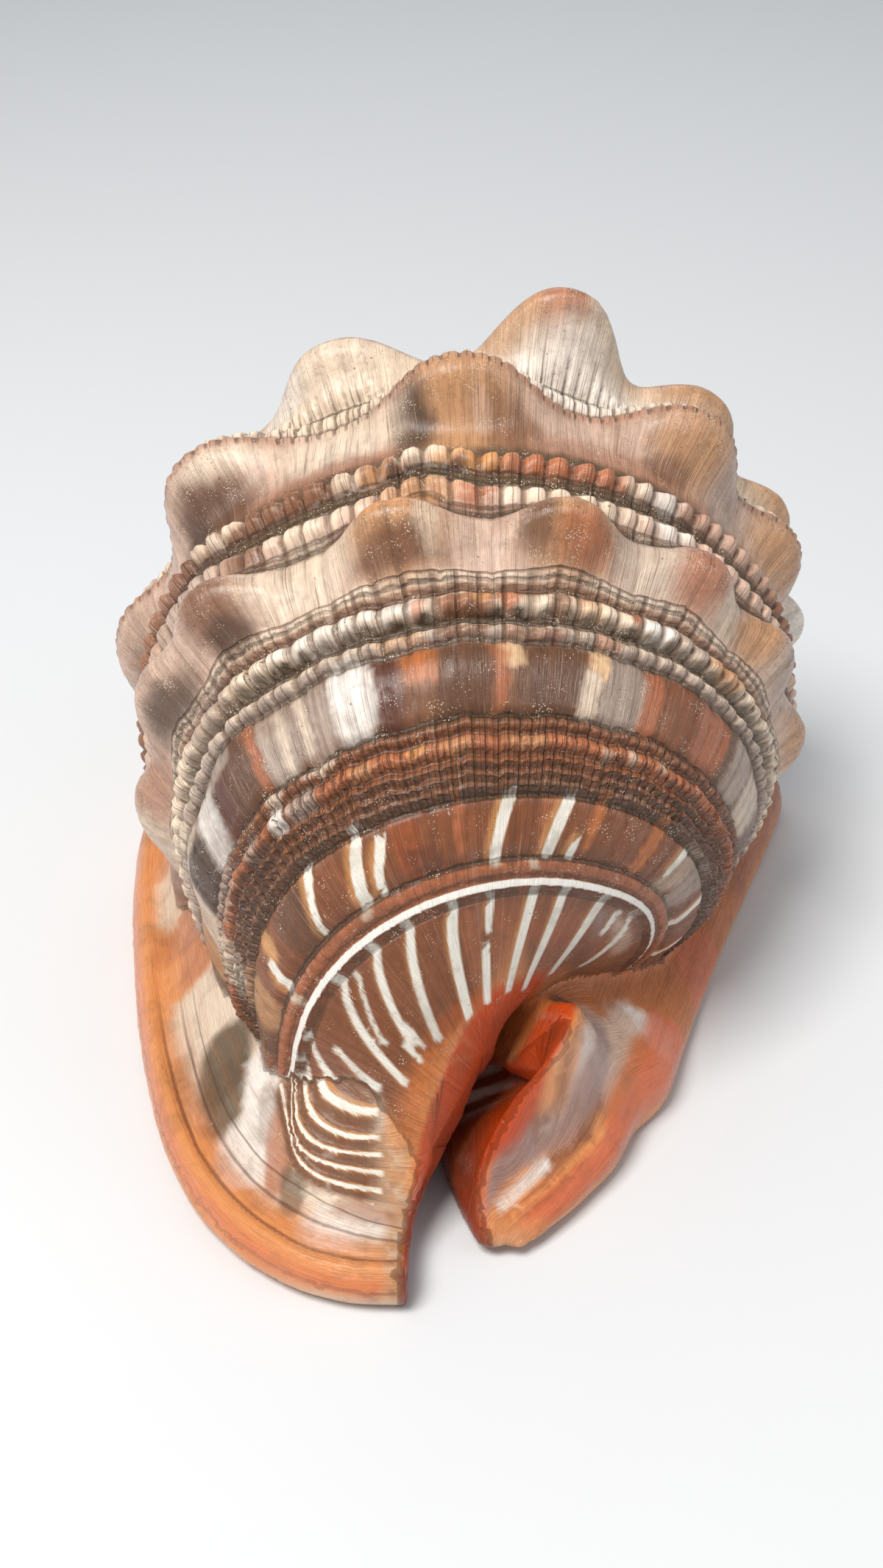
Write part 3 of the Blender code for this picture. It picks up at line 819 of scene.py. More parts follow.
def make_shell():
    whorl, lip_part, shield_part = body(), outer_lip(), inner_lip()
    trees = {"lip": surface_of(lip_part), "shield": surface_of(shield_part)}
    shell = join([whorl, lip_part, shield_part], "helmet_shell")
    apply(shell, "REMESH", mode="VOXEL", voxel_size=FIRST_VOXEL * MM)
    apply(shell, "SMOOTH", factor=0.5, iterations=4)
    hollow = join([hollow_of_whorl(), slit(), canal()], "hollow")
    apply(hollow, "REMESH", mode="VOXEL", voxel_size=HOLLOW_VOXEL * MM)
    trees["hollow"] = surface_of(hollow)
    cut(shell, hollow)
    apply(shell, "REMESH", mode="VOXEL", voxel_size=SKIN_VOXEL * MM)
    apply(shell, "SMOOTH", factor=0.5, iterations=3)
    ease_join(shell)
    raise_relief(shell, trees)
    thin_inside(shell)
    cut(shell, table_block())
    apply(shell, "TRIANGULATE")
    return shell, trees


def ease_join(shell):
    """The base runs out on to the outer lip without a crease, and the canal edge is even."""
    x, y, z = (points_of(shell) / MM - MIDDLE).T
    group = shell.vertex_groups.new(name="join")
    base = (y < -44.5) & (y > -64) & (x > -30) & (x < 1) & (z > 8.5)
    canal_edge = (y < -38) & (z > 5) & (x >= 1) & (x < 22)
    group.add(np.nonzero(base)[0].tolist(), 1.0, "REPLACE")
    group.add(np.nonzero(canal_edge)[0].tolist(), 0.35, "REPLACE")
    apply(shell, "SMOOTH", factor=0.5, iterations=28, vertex_group="join")


def raise_relief(shell, trees):
    """Cords, beads, growth lines, lamellae and teeth are pushed out of the smooth shell."""
    co = points_of(shell)
    spot = Spots(co, trees)
    z = spot.p[:, 2]
    high, _ = relief(spot)
    push = high * np.clip(spot.g, 0.3, 1.2) * spot.body
    layers = lamellae(spot.lip_rim, spot.lip_way, LIP_SEED)
    push += 0.07 * layers * spot.lip * (1 - smooth(14, 20, spot.lip_rim))
    for at, depth in LIP_GROOVES:
        off = spot.lip_rim - at - 0.3 * wander(spot.lip_way * 0.09, at)
        push -= depth * np.exp(-((off / 0.75) ** 2)) * spot.lip * smooth(88, 120, spot.lip_way) * (z > 3)
    count, region = plaits(spot)
    push += 0.40 * region * np.cos(2 * math.pi * count)
    layers = lamellae(spot.shield_rim, spot.shield_way, SHIELD_SEED)
    push += 0.12 * layers * spot.shield * (z > 2.6)
    phase, reach, _ = teeth(spot.p)
    under = (1 - smooth(1.2, 2.6, z)) * (1 - spot.inside)
    push -= 1.1 * under * reach * smooth(0.3, -0.7, phase)
    co = co + normals_of(shell) * push[:, None] * MM
    # Points that lie on the table aren't lifted off it.
    flat = (co[:, 2] < 0.3 * MM) & (z < 0.3)
    co[:, 2] = np.where(flat, np.minimum(co[:, 2], z * MM), co[:, 2])
    shell.data.vertices.foreach_set("co", co.ravel())
    shell.data.update()
    group = shell.vertex_groups.new(name="inside")
    deep = (spot.inside > 0.9) & (z > 12)
    plain = (spot.body < 0.5) & ~deep
    behind = (spot.body >= 0.5) & (spot.s < 19)
    for who, weight in ((deep, 1.0), (plain, 0.22), (behind, 0.3), (~(deep | plain | behind), 0.12)):
        group.add(np.nonzero(who)[0].tolist(), weight, "REPLACE")


def thin_inside(shell):
    """The hollow, where nobody looks, keeps few faces; the outside keeps nearly all of them."""
    faces = sum(len(f.vertices) - 2 for f in shell.data.polygons)
    apply(
        shell,
        "DECIMATE",
        ratio=min(1.0, TRIANGLES / faces),
        use_collapse_triangulate=True,
        vertex_group="inside",
        vertex_group_factor=1.0,
    )


def linear(colour):
    c = np.asarray(colour, float) / 255
    return np.where(c <= 0.04045, c / 12.92, ((c + 0.055) / 1.055) ** 2.4)


# Ground colour by level.
GROUND = (
    (0, ROSE), (16, ROSE), (20, TAN), (26, CREAM), (34, CREAM), (35.6, ROSE), (38, PINK), (43.5, PINK),
    (46, ROSE), (48.2, OLIVE), (50, ROSE), (53.2, BROWN), (55, OLIVE), (57, PINK), (60, PINK), (62, BROWN),
    (63.5, PINK), (70.6, PINK), (71.8, CREAM), (72.8, ROSE), (73.4, BROWN), (74, CREAM), (76, CREAM),
    (77.2, DARK), (78.6, CREAM), (80, ASH), (81.5, BROWN), (89, BROWN), (90.2, DARK), (91, BROWN),
    (93.4, COPPER), (95.5, CHESTNUT), (98.2, BROWN), (98.8, DARK), (99.4, CHESTNUT), (103.6, CHESTNUT),
    (104.2, DARK), (104.9, COPPER), (106.9, CHESTNUT), (112, CHESTNUT), (113.4, ORANGE), (120, APRICOT),
)

# Patches of colour on the whorl, laid on in this order: angle, level, half width in
# degrees, half height, colour, strength.
PATCHES = (
    # knobs at the shoulder
    (110, 24, 9, 5, CREAM, 0.9), (112, 20.5, 10, 2, ROSE, 0.6), (124, 25, 5, 3, WHITE, 0.6),
    (79.5, 22.5, 5, 3.6, COPPER, 0.75), (73, 24, 3.6, 3.6, CREAM, 0.85), (87, 24, 4, 3, TAN, 0.6),
    (52, 23, 8, 5, TAN, 0.8), (24, 23, 8, 5, TAN, 0.8), (-4, 23, 8, 5.5, WHITE, 0.9), (-36, 23, 8, 5, TAN, 0.7),
    (-64, 23, 8, 5, CREAM, 0.7), (148, 23, 8, 5, ROSE, 0.7), (180, 23, 8, 5, CREAM, 0.7),
    (207, 23, 8, 5, TAN, 0.7),
    # riblets under them
    (75, 30, 14, 4.2, WHITE, 0.7), (50, 31, 11, 4, PINK, 0.8), (115, 32, 12, 4, CREAM, 0.6),
    (108, 35.2, 8, 1.2, OLIVE, 0.4), (76, 35.8, 16, 1.2, ROSE, 0.7),
    # second knobs
    (94, 42, 9.5, 5.8, TAN, 0.9), (95, 38.5, 6, 2.5, TAN, 0.6), (86, 44, 4.5, 4, BROWN, 0.8),
    (102, 42.5, 3.4, 5, DARK, 0.9), (91.6, 42, 1.4, 2.6, PINK, 0.5), (74, 39.6, 7, 2.9, PINK, 0.8),
    (73, 44.6, 10, 2.4, ROSE, 0.8), (57, 40.5, 7, 4.2, TAN, 0.85), (60, 43.6, 4.2, 2, BROWN, 0.8),
    (45.5, 42.5, 5.5, 4.5, ASH, 0.7), (29, 40, 8, 4.4, TAN, 0.85), (8, 41, 10, 5, PINK, 0.7),
    (-6, 38, 8, 5, COPPER, 0.6), (-36, 38, 8, 5, BROWN, 0.6), (114, 40.6, 9.5, 4.8, CREAM, 0.95),
    (114, 46.2, 9, 1.7, ROSE, 0.7), (136, 43.6, 8, 4.4, UMBER, 0.95), (131, 38.4, 6.5, 1.7, CREAM, 0.8),
    (141, 45.5, 4, 4, DARK, 0.7), (151, 42, 7, 6, PINK, 0.6), (162, 40, 9, 2.8, PINK, 0.8),
    (170, 45.5, 8, 4.4, UMBER, 0.85), (186, 42, 8, 6, CREAM, 0.7), (203, 41, 7, 5, UMBER, 0.7),
    (84, 48.2, 32, 1.1, OLIVE, 0.8), (122, 48.4, 12, 1.0, UMBER, 0.8),
    # first beaded cord
    (61.5, 52, 3.2, 2, WHITE, 0.8), (66.5, 51.5, 2.6, 2, CREAM, 0.8), (79, 52, 9.5, 1.9, COPPER, 0.75),
    (91, 51.6, 3, 1.8, HONEY, 0.8), (100, 52.2, 6, 1.2, DARK, 0.9), (100, 49.0, 6.8, 1.7, CREAM, 0.95),
    (96, 50.2, 4, 0.8, HONEY, 0.6), (108, 52, 2.2, 1.8, TAN, 0.9), (112, 51.6, 2.5, 1.9, CREAM, 0.9),
    (121, 52, 7, 1.9, BROWN, 0.9), (132, 50, 4.6, 1.5, CREAM, 0.85), (138, 47.8, 2.6, 2.2, CREAM, 0.85),
    (45, 52, 12, 2, PINK, 0.6), (100, 55.2, 45, 0.9, OLIVE, 0.8),
    # second beaded cord
    (60.5, 58.3, 4, 2.5, WHITE, 0.7), (73, 58.6, 7, 2, CREAM, 0.8), (85, 58.6, 5, 2, CREAM, 0.7),
    (92.5, 58.6, 3, 2, COPPER, 0.8), (101, 57.5, 6, 2.2, TAN, 0.9), (118, 58.6, 6, 2, CREAM, 0.7),
    (129, 58.6, 3.6, 2, BROWN, 0.8), (142, 57, 8, 4, ASH, 0.7), (75, 61.8, 10, 0.8, UMBER, 0.5),
    (118, 61.3, 14, 0.7, UMBER, 0.6),
    # third knobs
    (78.5, 66.8, 6.6, 4.7, TAN, 0.9), (76.5, 68.2, 4.5, 2.4, COPPER, 0.8), (84, 66, 2.6, 3.2, UMBER, 0.8),
    (76, 62.5, 5, 1.2, CREAM, 0.85), (92.5, 66.6, 5.7, 4.6, PINK, 0.95), (104, 66.4, 6.8, 5, TAN, 0.9),
    (104.5, 63.2, 5, 1.9, APRICOT, 0.7), (104.5, 69.0, 6.5, 1.5, MAROON, 0.7), (99.4, 66, 1.6, 3.6, CREAM, 0.6),
    (119.5, 66.2, 8.2, 5, CREAM, 0.9), (133, 67, 4.6, 4, BROWN, 0.85), (132, 70, 4, 1.5, DARK, 0.8),
    (144, 66, 6, 4, PINK, 0.8), (149.5, 69.6, 7, 2, DARK, 0.85), (140, 62, 8, 2, BROWN, 0.5),
    (65, 66.4, 5.6, 4.8, ASH, 0.7), (65, 66.4, 5.0, 4.8, CREAM, 0.5), (55, 66.4, 5, 4.4, COPPER, 0.75),
    (46.4, 66.4, 3.6, 4.4, CREAM, 0.8), (38.6, 66.6, 4.6, 4.4, TAN, 0.9), (27, 66, 6, 4, ASH, 0.8),
    (8, 66, 7, 4.5, TAN, 0.8), (-18, 66, 7, 4.5, ROSE, 0.8), (166, 68, 8, 3.5, ROSE, 0.8),
    (180, 68, 6, 4, CREAM, 0.8), (196, 67, 8, 4, BROWN, 0.8),
    # third beaded cord
    (42.5, 75, 5.5, 1.6, TAN, 0.9), (52, 75, 4.6, 1.6, ASH, 0.9), (60.5, 75, 3.4, 1.6, WHITE, 0.8),
    (65, 75, 1.2, 1.5, COPPER, 0.9), (74, 75, 2.6, 1.5, HONEY, 0.4), (79, 75.4, 1.8, 1.4, BROWN, 0.8),
    (87.5, 75, 2.2, 1.5, COPPER, 0.9), (94.5, 75.4, 5, 1.5, CHESTNUT, 0.9), (92, 74.6, 1.6, 1, HONEY, 0.8),
    (105, 74.8, 4.6, 1.5, WHITE, 0.7), (102, 75.4, 1.2, 1.4, COPPER, 0.7), (119, 75, 9, 1.6, WHITE, 0.5),
    (143, 74.6, 6, 2.4, ASH, 0.8), (160, 75, 8, 2.5, CREAM, 0.6), (100, 77.3, 42, 0.6, DARK, 0.9),
    (95, 79.3, 4.4, 1, BROWN, 0.8), (83.5, 79.6, 5.5, 1, CHESTNUT, 0.6), (70, 79.4, 2.6, 1, COPPER, 0.5),
    (106, 79.3, 4, 1, TAN, 0.6),
    # colour blocks
    (17, 85.5, 6, 4.7, CREAM, 0.8), (29, 85.5, 5, 4.7, ASH, 0.9), (35, 85.5, 2, 4.7, UMBER, 0.8),
    (41.5, 85.6, 5.2, 4.7, COPPER, 0.9), (51.5, 85.6, 5.2, 4.7, CHESTNUT, 0.9),
    (59, 85.6, 2.4, 4.8, COPPER, 0.95), (65.6, 85.6, 4.8, 4.8, ASH, 0.9), (71, 82.6, 1.9, 2.4, BUTTER, 0.95),
    (72.4, 87, 1.9, 3.2, CREAM, 0.95), (80, 85.6, 5.6, 4.8, UMBER, 0.95), (87.4, 82.6, 2.3, 2, BUTTER, 0.95),
    (89.6, 85.4, 1.9, 4.2, COPPER, 0.85), (95.4, 85.8, 5, 4.7, UMBER, 0.95),
    (102.8, 83.4, 2.9, 3, ORANGE, 0.75), (103.6, 87.6, 3, 2.3, BROWN, 0.85),
    (108.7, 85.5, 2.6, 4.8, MAROON, 0.95), (115, 84.8, 4.1, 4.7, WHITE, 0.95),
    (122.6, 85.2, 3.9, 4.8, ASH, 0.85), (124.4, 84.6, 1, 4.4, CREAM, 0.6), (130.2, 85.2, 3.8, 4.8, ASH, 0.95),
    (129, 85, 0.9, 4.5, CREAM, 0.6), (134.8, 85, 0.9, 4.6, COPPER, 0.8), (139.4, 86, 3.4, 4.4, UMBER, 0.95),
    (145.6, 87, 3.2, 3.1, MAROON, 0.95), (144.6, 81.8, 5, 2, ASH, 0.9), (152.2, 85.6, 4.2, 4.6, WHITE, 0.85),
    (162, 86.6, 6, 3.3, DARK, 0.9), (163, 81.6, 6, 1.8, CREAM, 0.8), (173, 86, 5, 4.5, CREAM, 0.9),
    (183, 86, 5, 4.6, TAN, 0.9), (193, 86, 5, 4.6, UMBER, 0.9), (204, 86, 6, 4.6, CREAM, 0.8),
    (4, 85.5, 6, 4.7, UMBER, 0.8), (-10, 85.5, 6, 4.7, ORANGE, 0.8), (-24, 85.5, 6, 4.7, UMBER, 0.8),
    # fine cords
    (129, 93.6, 3.4, 1.5, ASH, 0.9), (135, 93.4, 1.6, 1.7, WHITE, 0.9), (143.5, 93.5, 2, 1.6, ASH, 0.8),
    (124, 91, 3.4, 0.8, CREAM, 0.7), (134, 91, 2, 0.8, CREAM, 0.8), (60.6, 93.4, 1, 1, CREAM, 0.7),
    (53, 93.4, 1, 1, CREAM, 0.6), (67, 94, 1, 1, CREAM, 0.5), (84, 93.4, 4, 1, TAN, 0.6),
    (105, 93.4, 2, 1, HONEY, 0.7), (98, 93.4, 3, 1, TAN, 0.6), (116, 93.4, 2, 1, TAN, 0.7),
    (158, 92, 7, 2, ASH, 0.7), (148, 96, 10, 2, UMBER, 0.7), (172, 94, 6, 4, CREAM, 0.8),
    (38, 93.4, 6, 1.2, COPPER, 0.7),
    # smooth band
    (64.8, 101, 1.4, 2.6, ORANGE, 0.8), (45.4, 101, 2.2, 2.9, ORANGE, 0.9), (98.6, 101, 1.3, 2.6, COPPER, 0.9),
    (111, 101.4, 3, 2.6, RUST, 0.5), (154.6, 100.6, 2.2, 1.8, HONEY, 0.95), (78, 101.4, 1.4, 2.4, COPPER, 0.8),
    (108, 103, 4, 1, MAROON, 0.5), (143, 102, 6, 2.6, UMBER, 0.8), (171, 101, 7, 3, TAN, 0.8),
    (179, 101.5, 4, 3, UMBER, 0.8), (30, 101, 5, 2.7, CREAM, 0.5), (38, 101.4, 4, 2.6, CHESTNUT, 0.9),
    (20, 101, 5, 2.7, ASH, 0.8), (85, 113, 60, 0.7, RUST, 0.7), (85, 110, 6, 2.6, COPPER, 0.5),
    (55, 110, 7, 2.4, COPPER, 0.4), (100, 110, 3, 2.6, COPPER, 0.5), (79, 105, 1, 0.5, CREAM, 0.8),
    (90, 105, 1, 0.5, CREAM, 0.8), (127, 105, 1.6, 0.5, CREAM, 0.8), (159.5, 105.1, 1.4, 0.6, CREAM, 0.9),
)

# White stripes: top and bottom level, top and bottom angle, half width in degrees at
# top and bottom, bend (1 is straight).
STRIPES = (
    (99.0, 103.9, 73.0, 75.8, 1.4, 1.6, 1.0), (102.2, 103.9, 68.2, 69.0, 0.4, 1.2, 1.0),
    (99.0, 104.0, 87.0, 90.4, 1.4, 1.3, 1.0), (100.2, 103.9, 116.0, 120.6, 1.1, 1.0, 1.0),
    (98.9, 104.0, 120.8, 126.0, 1.3, 1.5, 1.0), (99.0, 103.6, 133.6, 139.3, 1.1, 0.8, 1.0),
    (102.0, 104.1, 157.0, 158.6, 1.2, 1.3, 1.0), (99.4, 102.4, 32.4, 33.2, 1.2, 1.0, 1.0),
    (99.2, 103.8, 8.0, 5.0, 1.5, 1.5, 1.0), (99.2, 103.8, -14.0, -18.0, 1.5, 1.5, 1.0),
    (107.0, 112.6, 48.5, 40.5, 1.9, 2.4, 1.2), (107.0, 113.6, 66.0, 63.2, 1.6, 2.3, 0.8),
    (107.1, 113.2, 77.2, 79.0, 1.6, 2.2, 1.4), (107.1, 108.6, 92.0, 92.6, 1.3, 1.2, 1.0),
    (110.0, 113.3, 94.2, 95.6, 1.6, 2.2, 1.0), (107.0, 113.4, 103.6, 110.2, 1.6, 2.6, 0.6),
    (107.0, 113.0, 118.6, 133.4, 1.3, 2.2, 0.95), (107.0, 111.8, 131.0, 145.6, 1.3, 1.6, 0.85),
    (107.4, 110.4, 141.0, 154.0, 0.5, 0.8, 1.0), (107.0, 112.4, 145.6, 165.2, 1.3, 1.9, 0.75),
    (108.6, 110.9, 168.0, 174.6, 0.9, 1.7, 0.8), (106.7, 111.4, 163.5, 186.6, 1.1, 2.2, 0.42),
    (106.7, 108.6, 176.0, 190.0, 0.8, 1.2, 0.6), (107.0, 112.0, 183.0, 208.0, 1.0, 2.0, 0.5),
    (107.2, 108.5, 36.5, 33.0, 1.6, 1.6, 1.0), (106.8, 111.0, 29.0, 8.0, 1.6, 3.0, 0.7),
    (111.6, 112.4, 142.0, 143.0, 1.2, 1.0, 1.0), (112.0, 112.8, 149.0, 150.0, 1.4, 1.2, 1.0),
)


# The honey edge of a stripe: degrees wider on each side, and shifted.
HONEY_WIDER = 1.5
HONEY_SHIFT = 0.9


def stripe_field(angle, s):
    """Distance in millimetres inside the nearest white stripe (below 0 outside), and its honey edge."""
    per_degree = np.maximum(pchip(OUTLINE_H, OUTLINE_R, s), LEAST_RADIUS) * math.pi / 180
    inside = np.full(len(angle), NO_STRIPE)
    edge = np.full(len(angle), NO_STRIPE)
    for s0, s1, a0, a1, w0, w1, bend in STRIPES:
        t = np.clip((s - s0) / (s1 - s0), 0.0, 1.0)
        middle = a0 + (a1 - a0) * t**bend
        half = w0 + (w1 - w0) * t
        lean = (a1 - a0) / (s1 - s0) * bend * np.maximum(t, 0.15) ** (bend - 1) * per_degree
        steep = 1 / np.sqrt(1 + lean * lean)
        off = (half - np.abs(angle - middle)) * per_degree * steep
        end = np.minimum(s - s0, s1 - s) + 0.35
        inside = np.maximum(inside, np.minimum(off, end))
        off = (half + HONEY_WIDER - np.abs(angle - middle - HONEY_SHIFT)) * per_degree * steep
        edge = np.maximum(edge, np.minimum(off, end))
    return inside, edge


def lay(colour, mask, paint):
    return colour + (linear(paint) - colour) * mask[:, None]


def blot(x, y, at_x, at_y, wide, tall, hard=0.5):
    """A patch that fades out at its edge: 0 is soft like a wash, 1 has a clear edge."""
    power = 2 + 1.5 * hard
    q = (np.abs(x - at_x) / wide) ** power + (np.abs(y - at_y) / tall) ** (power * (1 + hard))
    return 1 - smooth(0.1 + 0.55 * hard, 2.0 - 0.65 * hard, q)


# Patches on the outer lip in plan: x, y, half x, half y, colour, strength.
LIP_PATCHES = (
    (-50.5, 18, 5, 9, ORANGE, 0.6), (-48.8, 2.5, 3.6, 6.0, CREAM, 0.9), (-46, -9.5, 5, 4.0, ORANGE, 0.8),
    (-42.5, -17, 6.5, 4.5, APRICOT, 0.9), (-40, -15, 3, 6, COPPER, 0.6), (-38.5, -28, 5.5, 5.5, CREAM, 0.95),
    (-33.6, -39.5, 4.2, 6.0, OLIVE, 0.95), (-32.8, -45.0, 3.4, 5.2, OLIVE, 0.9),
    (-27.6, -46.5, 2.6, 5.5, WHITE, 0.9), (-29.5, -54, 4.5, 4.8, WHITE, 0.8),
    (-24.6, -56.0, 1.9, 5.0, COPPER, 0.75), (-26.6, -50.6, 1.2, 4.0, ASH, 0.5),
    (-6.6, -56.5, 3.0, 5.5, APRICOT, 0.9), (-9.4, -59.5, 1.6, 3.6, TAN, 0.6),
    (-22.4, -61.2, 1.8, 2.8, OLIVE, 0.75), (-15, -66.8, 6.5, 2.6, WHITE, 0.7), (-12, -64.6, 5, 1.2, ROSE, 0.7),
    (-10.5, -69.2, 3, 1.6, BUTTER, 0.6), (-45, 42, 7, 8, ORANGE, 0.7), (-52, 32, 4, 6, COPPER, 0.7),
)
# Strokes laid along the canal and the inner lip in plan: start, middle and end
# points, half width at start and end, softness, colour, strength.
# Among them are painted highlights and painted shade on the outer side of the inner lip's crest.
STROKES = (
    (9.5, -44.6, 2.2, -51.2, -5.6, -60.6, 1.7, 0.9, 1.5, APRICOT, 0.95),
    (8.6, -45.8, 1.4, -52.6, -5.2, -60.8, 0.5, 0.4, 0.4, ORANGE, 0.8),
    (33, -29, 26.5, -43.0, 12, -61.0, 3.6, 2.4, 1.5, SALMON, 0.9),
    (28, -33, 24.0, -42.5, 16, -53.0, 1.2, 0.6, 1.0, ORANGE, 0.7),
    (25, -31, 22.6, -40.0, 18, -48.5, 2.0, 1.0, 1.2, PINK, 0.9),
    (19.5, -48, 14.0, -54.0, 5.5, -61.5, 2.2, 1.6, 0.8, APRICOT, 0.95),
    (20.5, -45.5, 17.6, -50.6, 13.0, -55.4, 0.9, 0.5, 0.7, CHESTNUT, 0.75),
    # Painted shade along the outer side of the crest.
    (19, -49.4, 14.4, -52.8, 9, -57.6, 0.8, 0.4, 0.6, CHESTNUT, 0.85),
    (15, -54.6, 10.6, -58.2, 6, -62.0, 0.35, 0.25, 0.35, RUST, 0.75),
    (16.5, -55.4, 12, -59.2, 7.5, -62.6, 0.35, 0.25, 0.35, CHESTNUT, 0.55),
    # Painted highlight on the crest near its tip.
    (12.8, -54.0, 10.0, -56.6, 6.4, -60.0, 0.6, 0.5, 0.7, WHITE, 0.85),
    (21.0, -36.5, 19.6, -45.5, 10.5, -53.6, 1.3, 0.6, 0.8, MAUVE, 0.85),
    # Painted highlight along the outer side of the crest.
    (19.4, -38.0, 18.4, -45.0, 12.0, -51.9, 0.7, 0.4, 0.5, WHITE, 0.55),
    (10.5, -53.4, 6.6, -56.8, 4.0, -61.5, 0.8, 0.5, 0.6, MAUVE, 0.85),
    (17.0, -41.0, 16.2, -47.8, 9.6, -51.9, 0.75, 0.55, 0.4, APRICOT, 0.9),
    (17.6, -44.0, 15.0, -49.8, 10.5, -52.2, 0.20, 0.15, 0.25, CHESTNUT, 0.7),
    (10.0, -51.7, 6.4, -53.8, 4.2, -58.5, 0.7, 0.4, 0.4, APRICOT, 0.9),
    (4.2, -56.5, 3.4, -59.6, 3.6, -62.8, 1.0, 0.9, 0.6, SALMON, 0.85),
    (3.2, -56.0, 2.7, -59.2, 3.0, -62.4, 0.20, 0.15, 0.3, MAROON, 0.8),
    (6.5, -62.6, 9.0, -63.4, 12.0, -62.4, 1.0, 0.8, 1.0, APRICOT, 0.8),
)
# The edges of the canal's red wall in plan: start, middle and end points.
CANAL_EDGE = (10.4, -42.6, 2.8, -50.2, -5.0, -61.8)
CREST_EDGE = (17.2, -40.0, 14.8, -48.4, 3.4, -58.8)
# Patches on the inner lip's upper face, as for the outer lip.
SHIELD_PATCHES = (
    (44, 2, 6, 9, ORANGE, 0.8), (40, -12, 5, 8, SALMON, 0.75), (33, -22, 5, 6, ORANGE, 0.8),
    (29, -30.5, 4.5, 3.6, WHITE, 0.9), (22, -38, 4, 5, PINK, 0.8), (27.5, -36, 3, 3, ORANGE, 0.8),
    (16.5, -37.5, 2.6, 2.6, DARK, 0.85), (18.0, -40.5, 1.6, 2.6, BUTTER, 0.8),
)


def patched(colour, x, y, patches, fade=1.0):
    for at_x, at_y, wide, tall, shade, strength in patches:
        colour = lay(colour, strength * blot(x, y, at_x, at_y, wide, tall) * fade, shade)
    return colour


def whorl_colours(spot, high):
    """Ground by level, washes over it, beads that differ a little from each other, and painted light: cord tops
    painted lighter as highlight, grooves painted darker as shade.
    """
    a, s = spot.angle, spot.s
    levels, shades = zip(*GROUND)
    shades = np.array([linear(shade) for shade in shades])
    flow = cord_level(a, s)
    colour = np.stack([np.interp(flow, levels, shades[:, c]) for c in range(3)], 1)
    bend_a = 0.5 * wander(s * 0.9, 0.3) + 0.35 * wander(s * 2.1 + a * 0.3, 1.9)
    bend_s = 0.45 * wander(a * 0.5, 1.1) + 0.2 * wander(a * 1.9, 2.4)
    for at, level, wide, tall, shade, strength in PATCHES:
        # Washes are soft down to the third beaded cord and have clearer edges below it.
        hard = 0.6 * float(smooth(72, 78, level))
        soft = 1 - 0.7 * hard
        mask = blot(a + soft * bend_a, s + soft * bend_s, at, level, wide, tall, hard)
        colour = lay(colour, strength * mask, shade)
    light = 1 + 0.16 * wander(a * 1.7, 3.0) + 0.10 * wander(a * 5.3 + s * 0.4, 0.9)
    # Painted highlight on the raised cords and painted shade in the sunk grooves.
    light = light * (1.0 + 0.30 * smooth(0.1, 1.3, high) - 0.35 * smooth(0.0, -0.7, high))
    return colour * light[:, None]


def lip_colours(spot):
    x, y, _ = spot.p.T
    rim, way = spot.lip_rim, spot.lip_way
    lip = np.tile(linear(APRICOT), (len(x), 1))
    lip = lay(lip, smooth(3.5, 7.5, rim + 0.8 * wander(way * 0.11, 0.6)), CREAM)
    lip = patched(lip, x, y, LIP_PATCHES, smooth(2.5, 6.0, rim))
    lip = lay(lip, (0.30 - 0.15 * smooth(4, 8, rim)) * smooth(0.1, 0.9, lamellae(rim, way, LIP_SEED)), ORANGE)
    lip = lay(lip, 0.55 * (1 - smooth(0.4, 1.6, rim)), SALMON)
    lip = lay(lip, 0.55 * smooth(95, 125, way) * np.exp(-(((rim - 5.0) / 1.5) ** 2)), ORANGE)
    # The broken face beside the notch.
    face = smooth(-10.4, -8.6, x - 0.35 * wander(y * 1.7, 0.4)) * (y < -58)
    lip = lay(lip, 0.85 * face, TAN)
    lip = lay(lip, 0.5 * face * smooth(0.0, 0.6, wander(y * 2.3 + x * 1.1, 2.0)), CREAM)
    return lay(lip, 0.5 * face * smooth(0.2, 0.8, wander(y * 1.9 - x * 1.6, 4.0)), CHESTNUT)


def shield_colours(spot):
    x, y, _ = spot.p.T
    rim, way = spot.shield_rim, spot.shield_way
    shield = np.tile(linear(ORANGE), (len(x), 1))
    shield = lay(shield, 1 - smooth(1.0, 4.0, rim), COPPER)
    shield = patched(shield, x, y, SHIELD_PATCHES)
    return lay(shield, 0.22 * smooth(0.1, 0.9, lamellae(rim, way, SHIELD_SEED)), COPPER)


def underneath(skin, spot, between):
    """The underside of a lip: salmon, paler beside the slit, with white teeth."""
    phase, reach, off = teeth(spot.p)
    low = 1 - smooth(2.0, 4.5, spot.p[:, 2])
    skin = lay(skin, low * 0.9, APRICOT)
    skin = lay(skin, low * 0.6 * (1 - smooth(9, 20, np.abs(off))), CREAM)
    skin = lay(skin, low * reach * 0.9 * smooth(0.1, -0.6, phase), between)
    return lay(skin, low * reach * 0.95 * smooth(-0.1, 0.6, phase), WHITE)


def hollow_colours(spot):
    _, y, z = spot.p.T
    phase, _, _ = teeth(spot.p)
    slit_wall = (1 - smooth(9, 13, z)) * smooth(-48, -44, y)
    inner = np.tile(linear(CORAL), (len(y), 1))
    inner = lay(inner, smooth(-38, -30, y), ORANGE)
    inner = lay(inner, slit_wall * smooth(-0.1, 0.6, phase), WHITE)
    inner = lay(inner, slit_wall * smooth(0.1, -0.6, phase) * 0.8, CHESTNUT)
    # Painted shadow: the hollow darkens low down in the canal.
    return lay(inner, (1 - smooth(6, 12, z)) * (y < -44) * 0.6, MAROON)


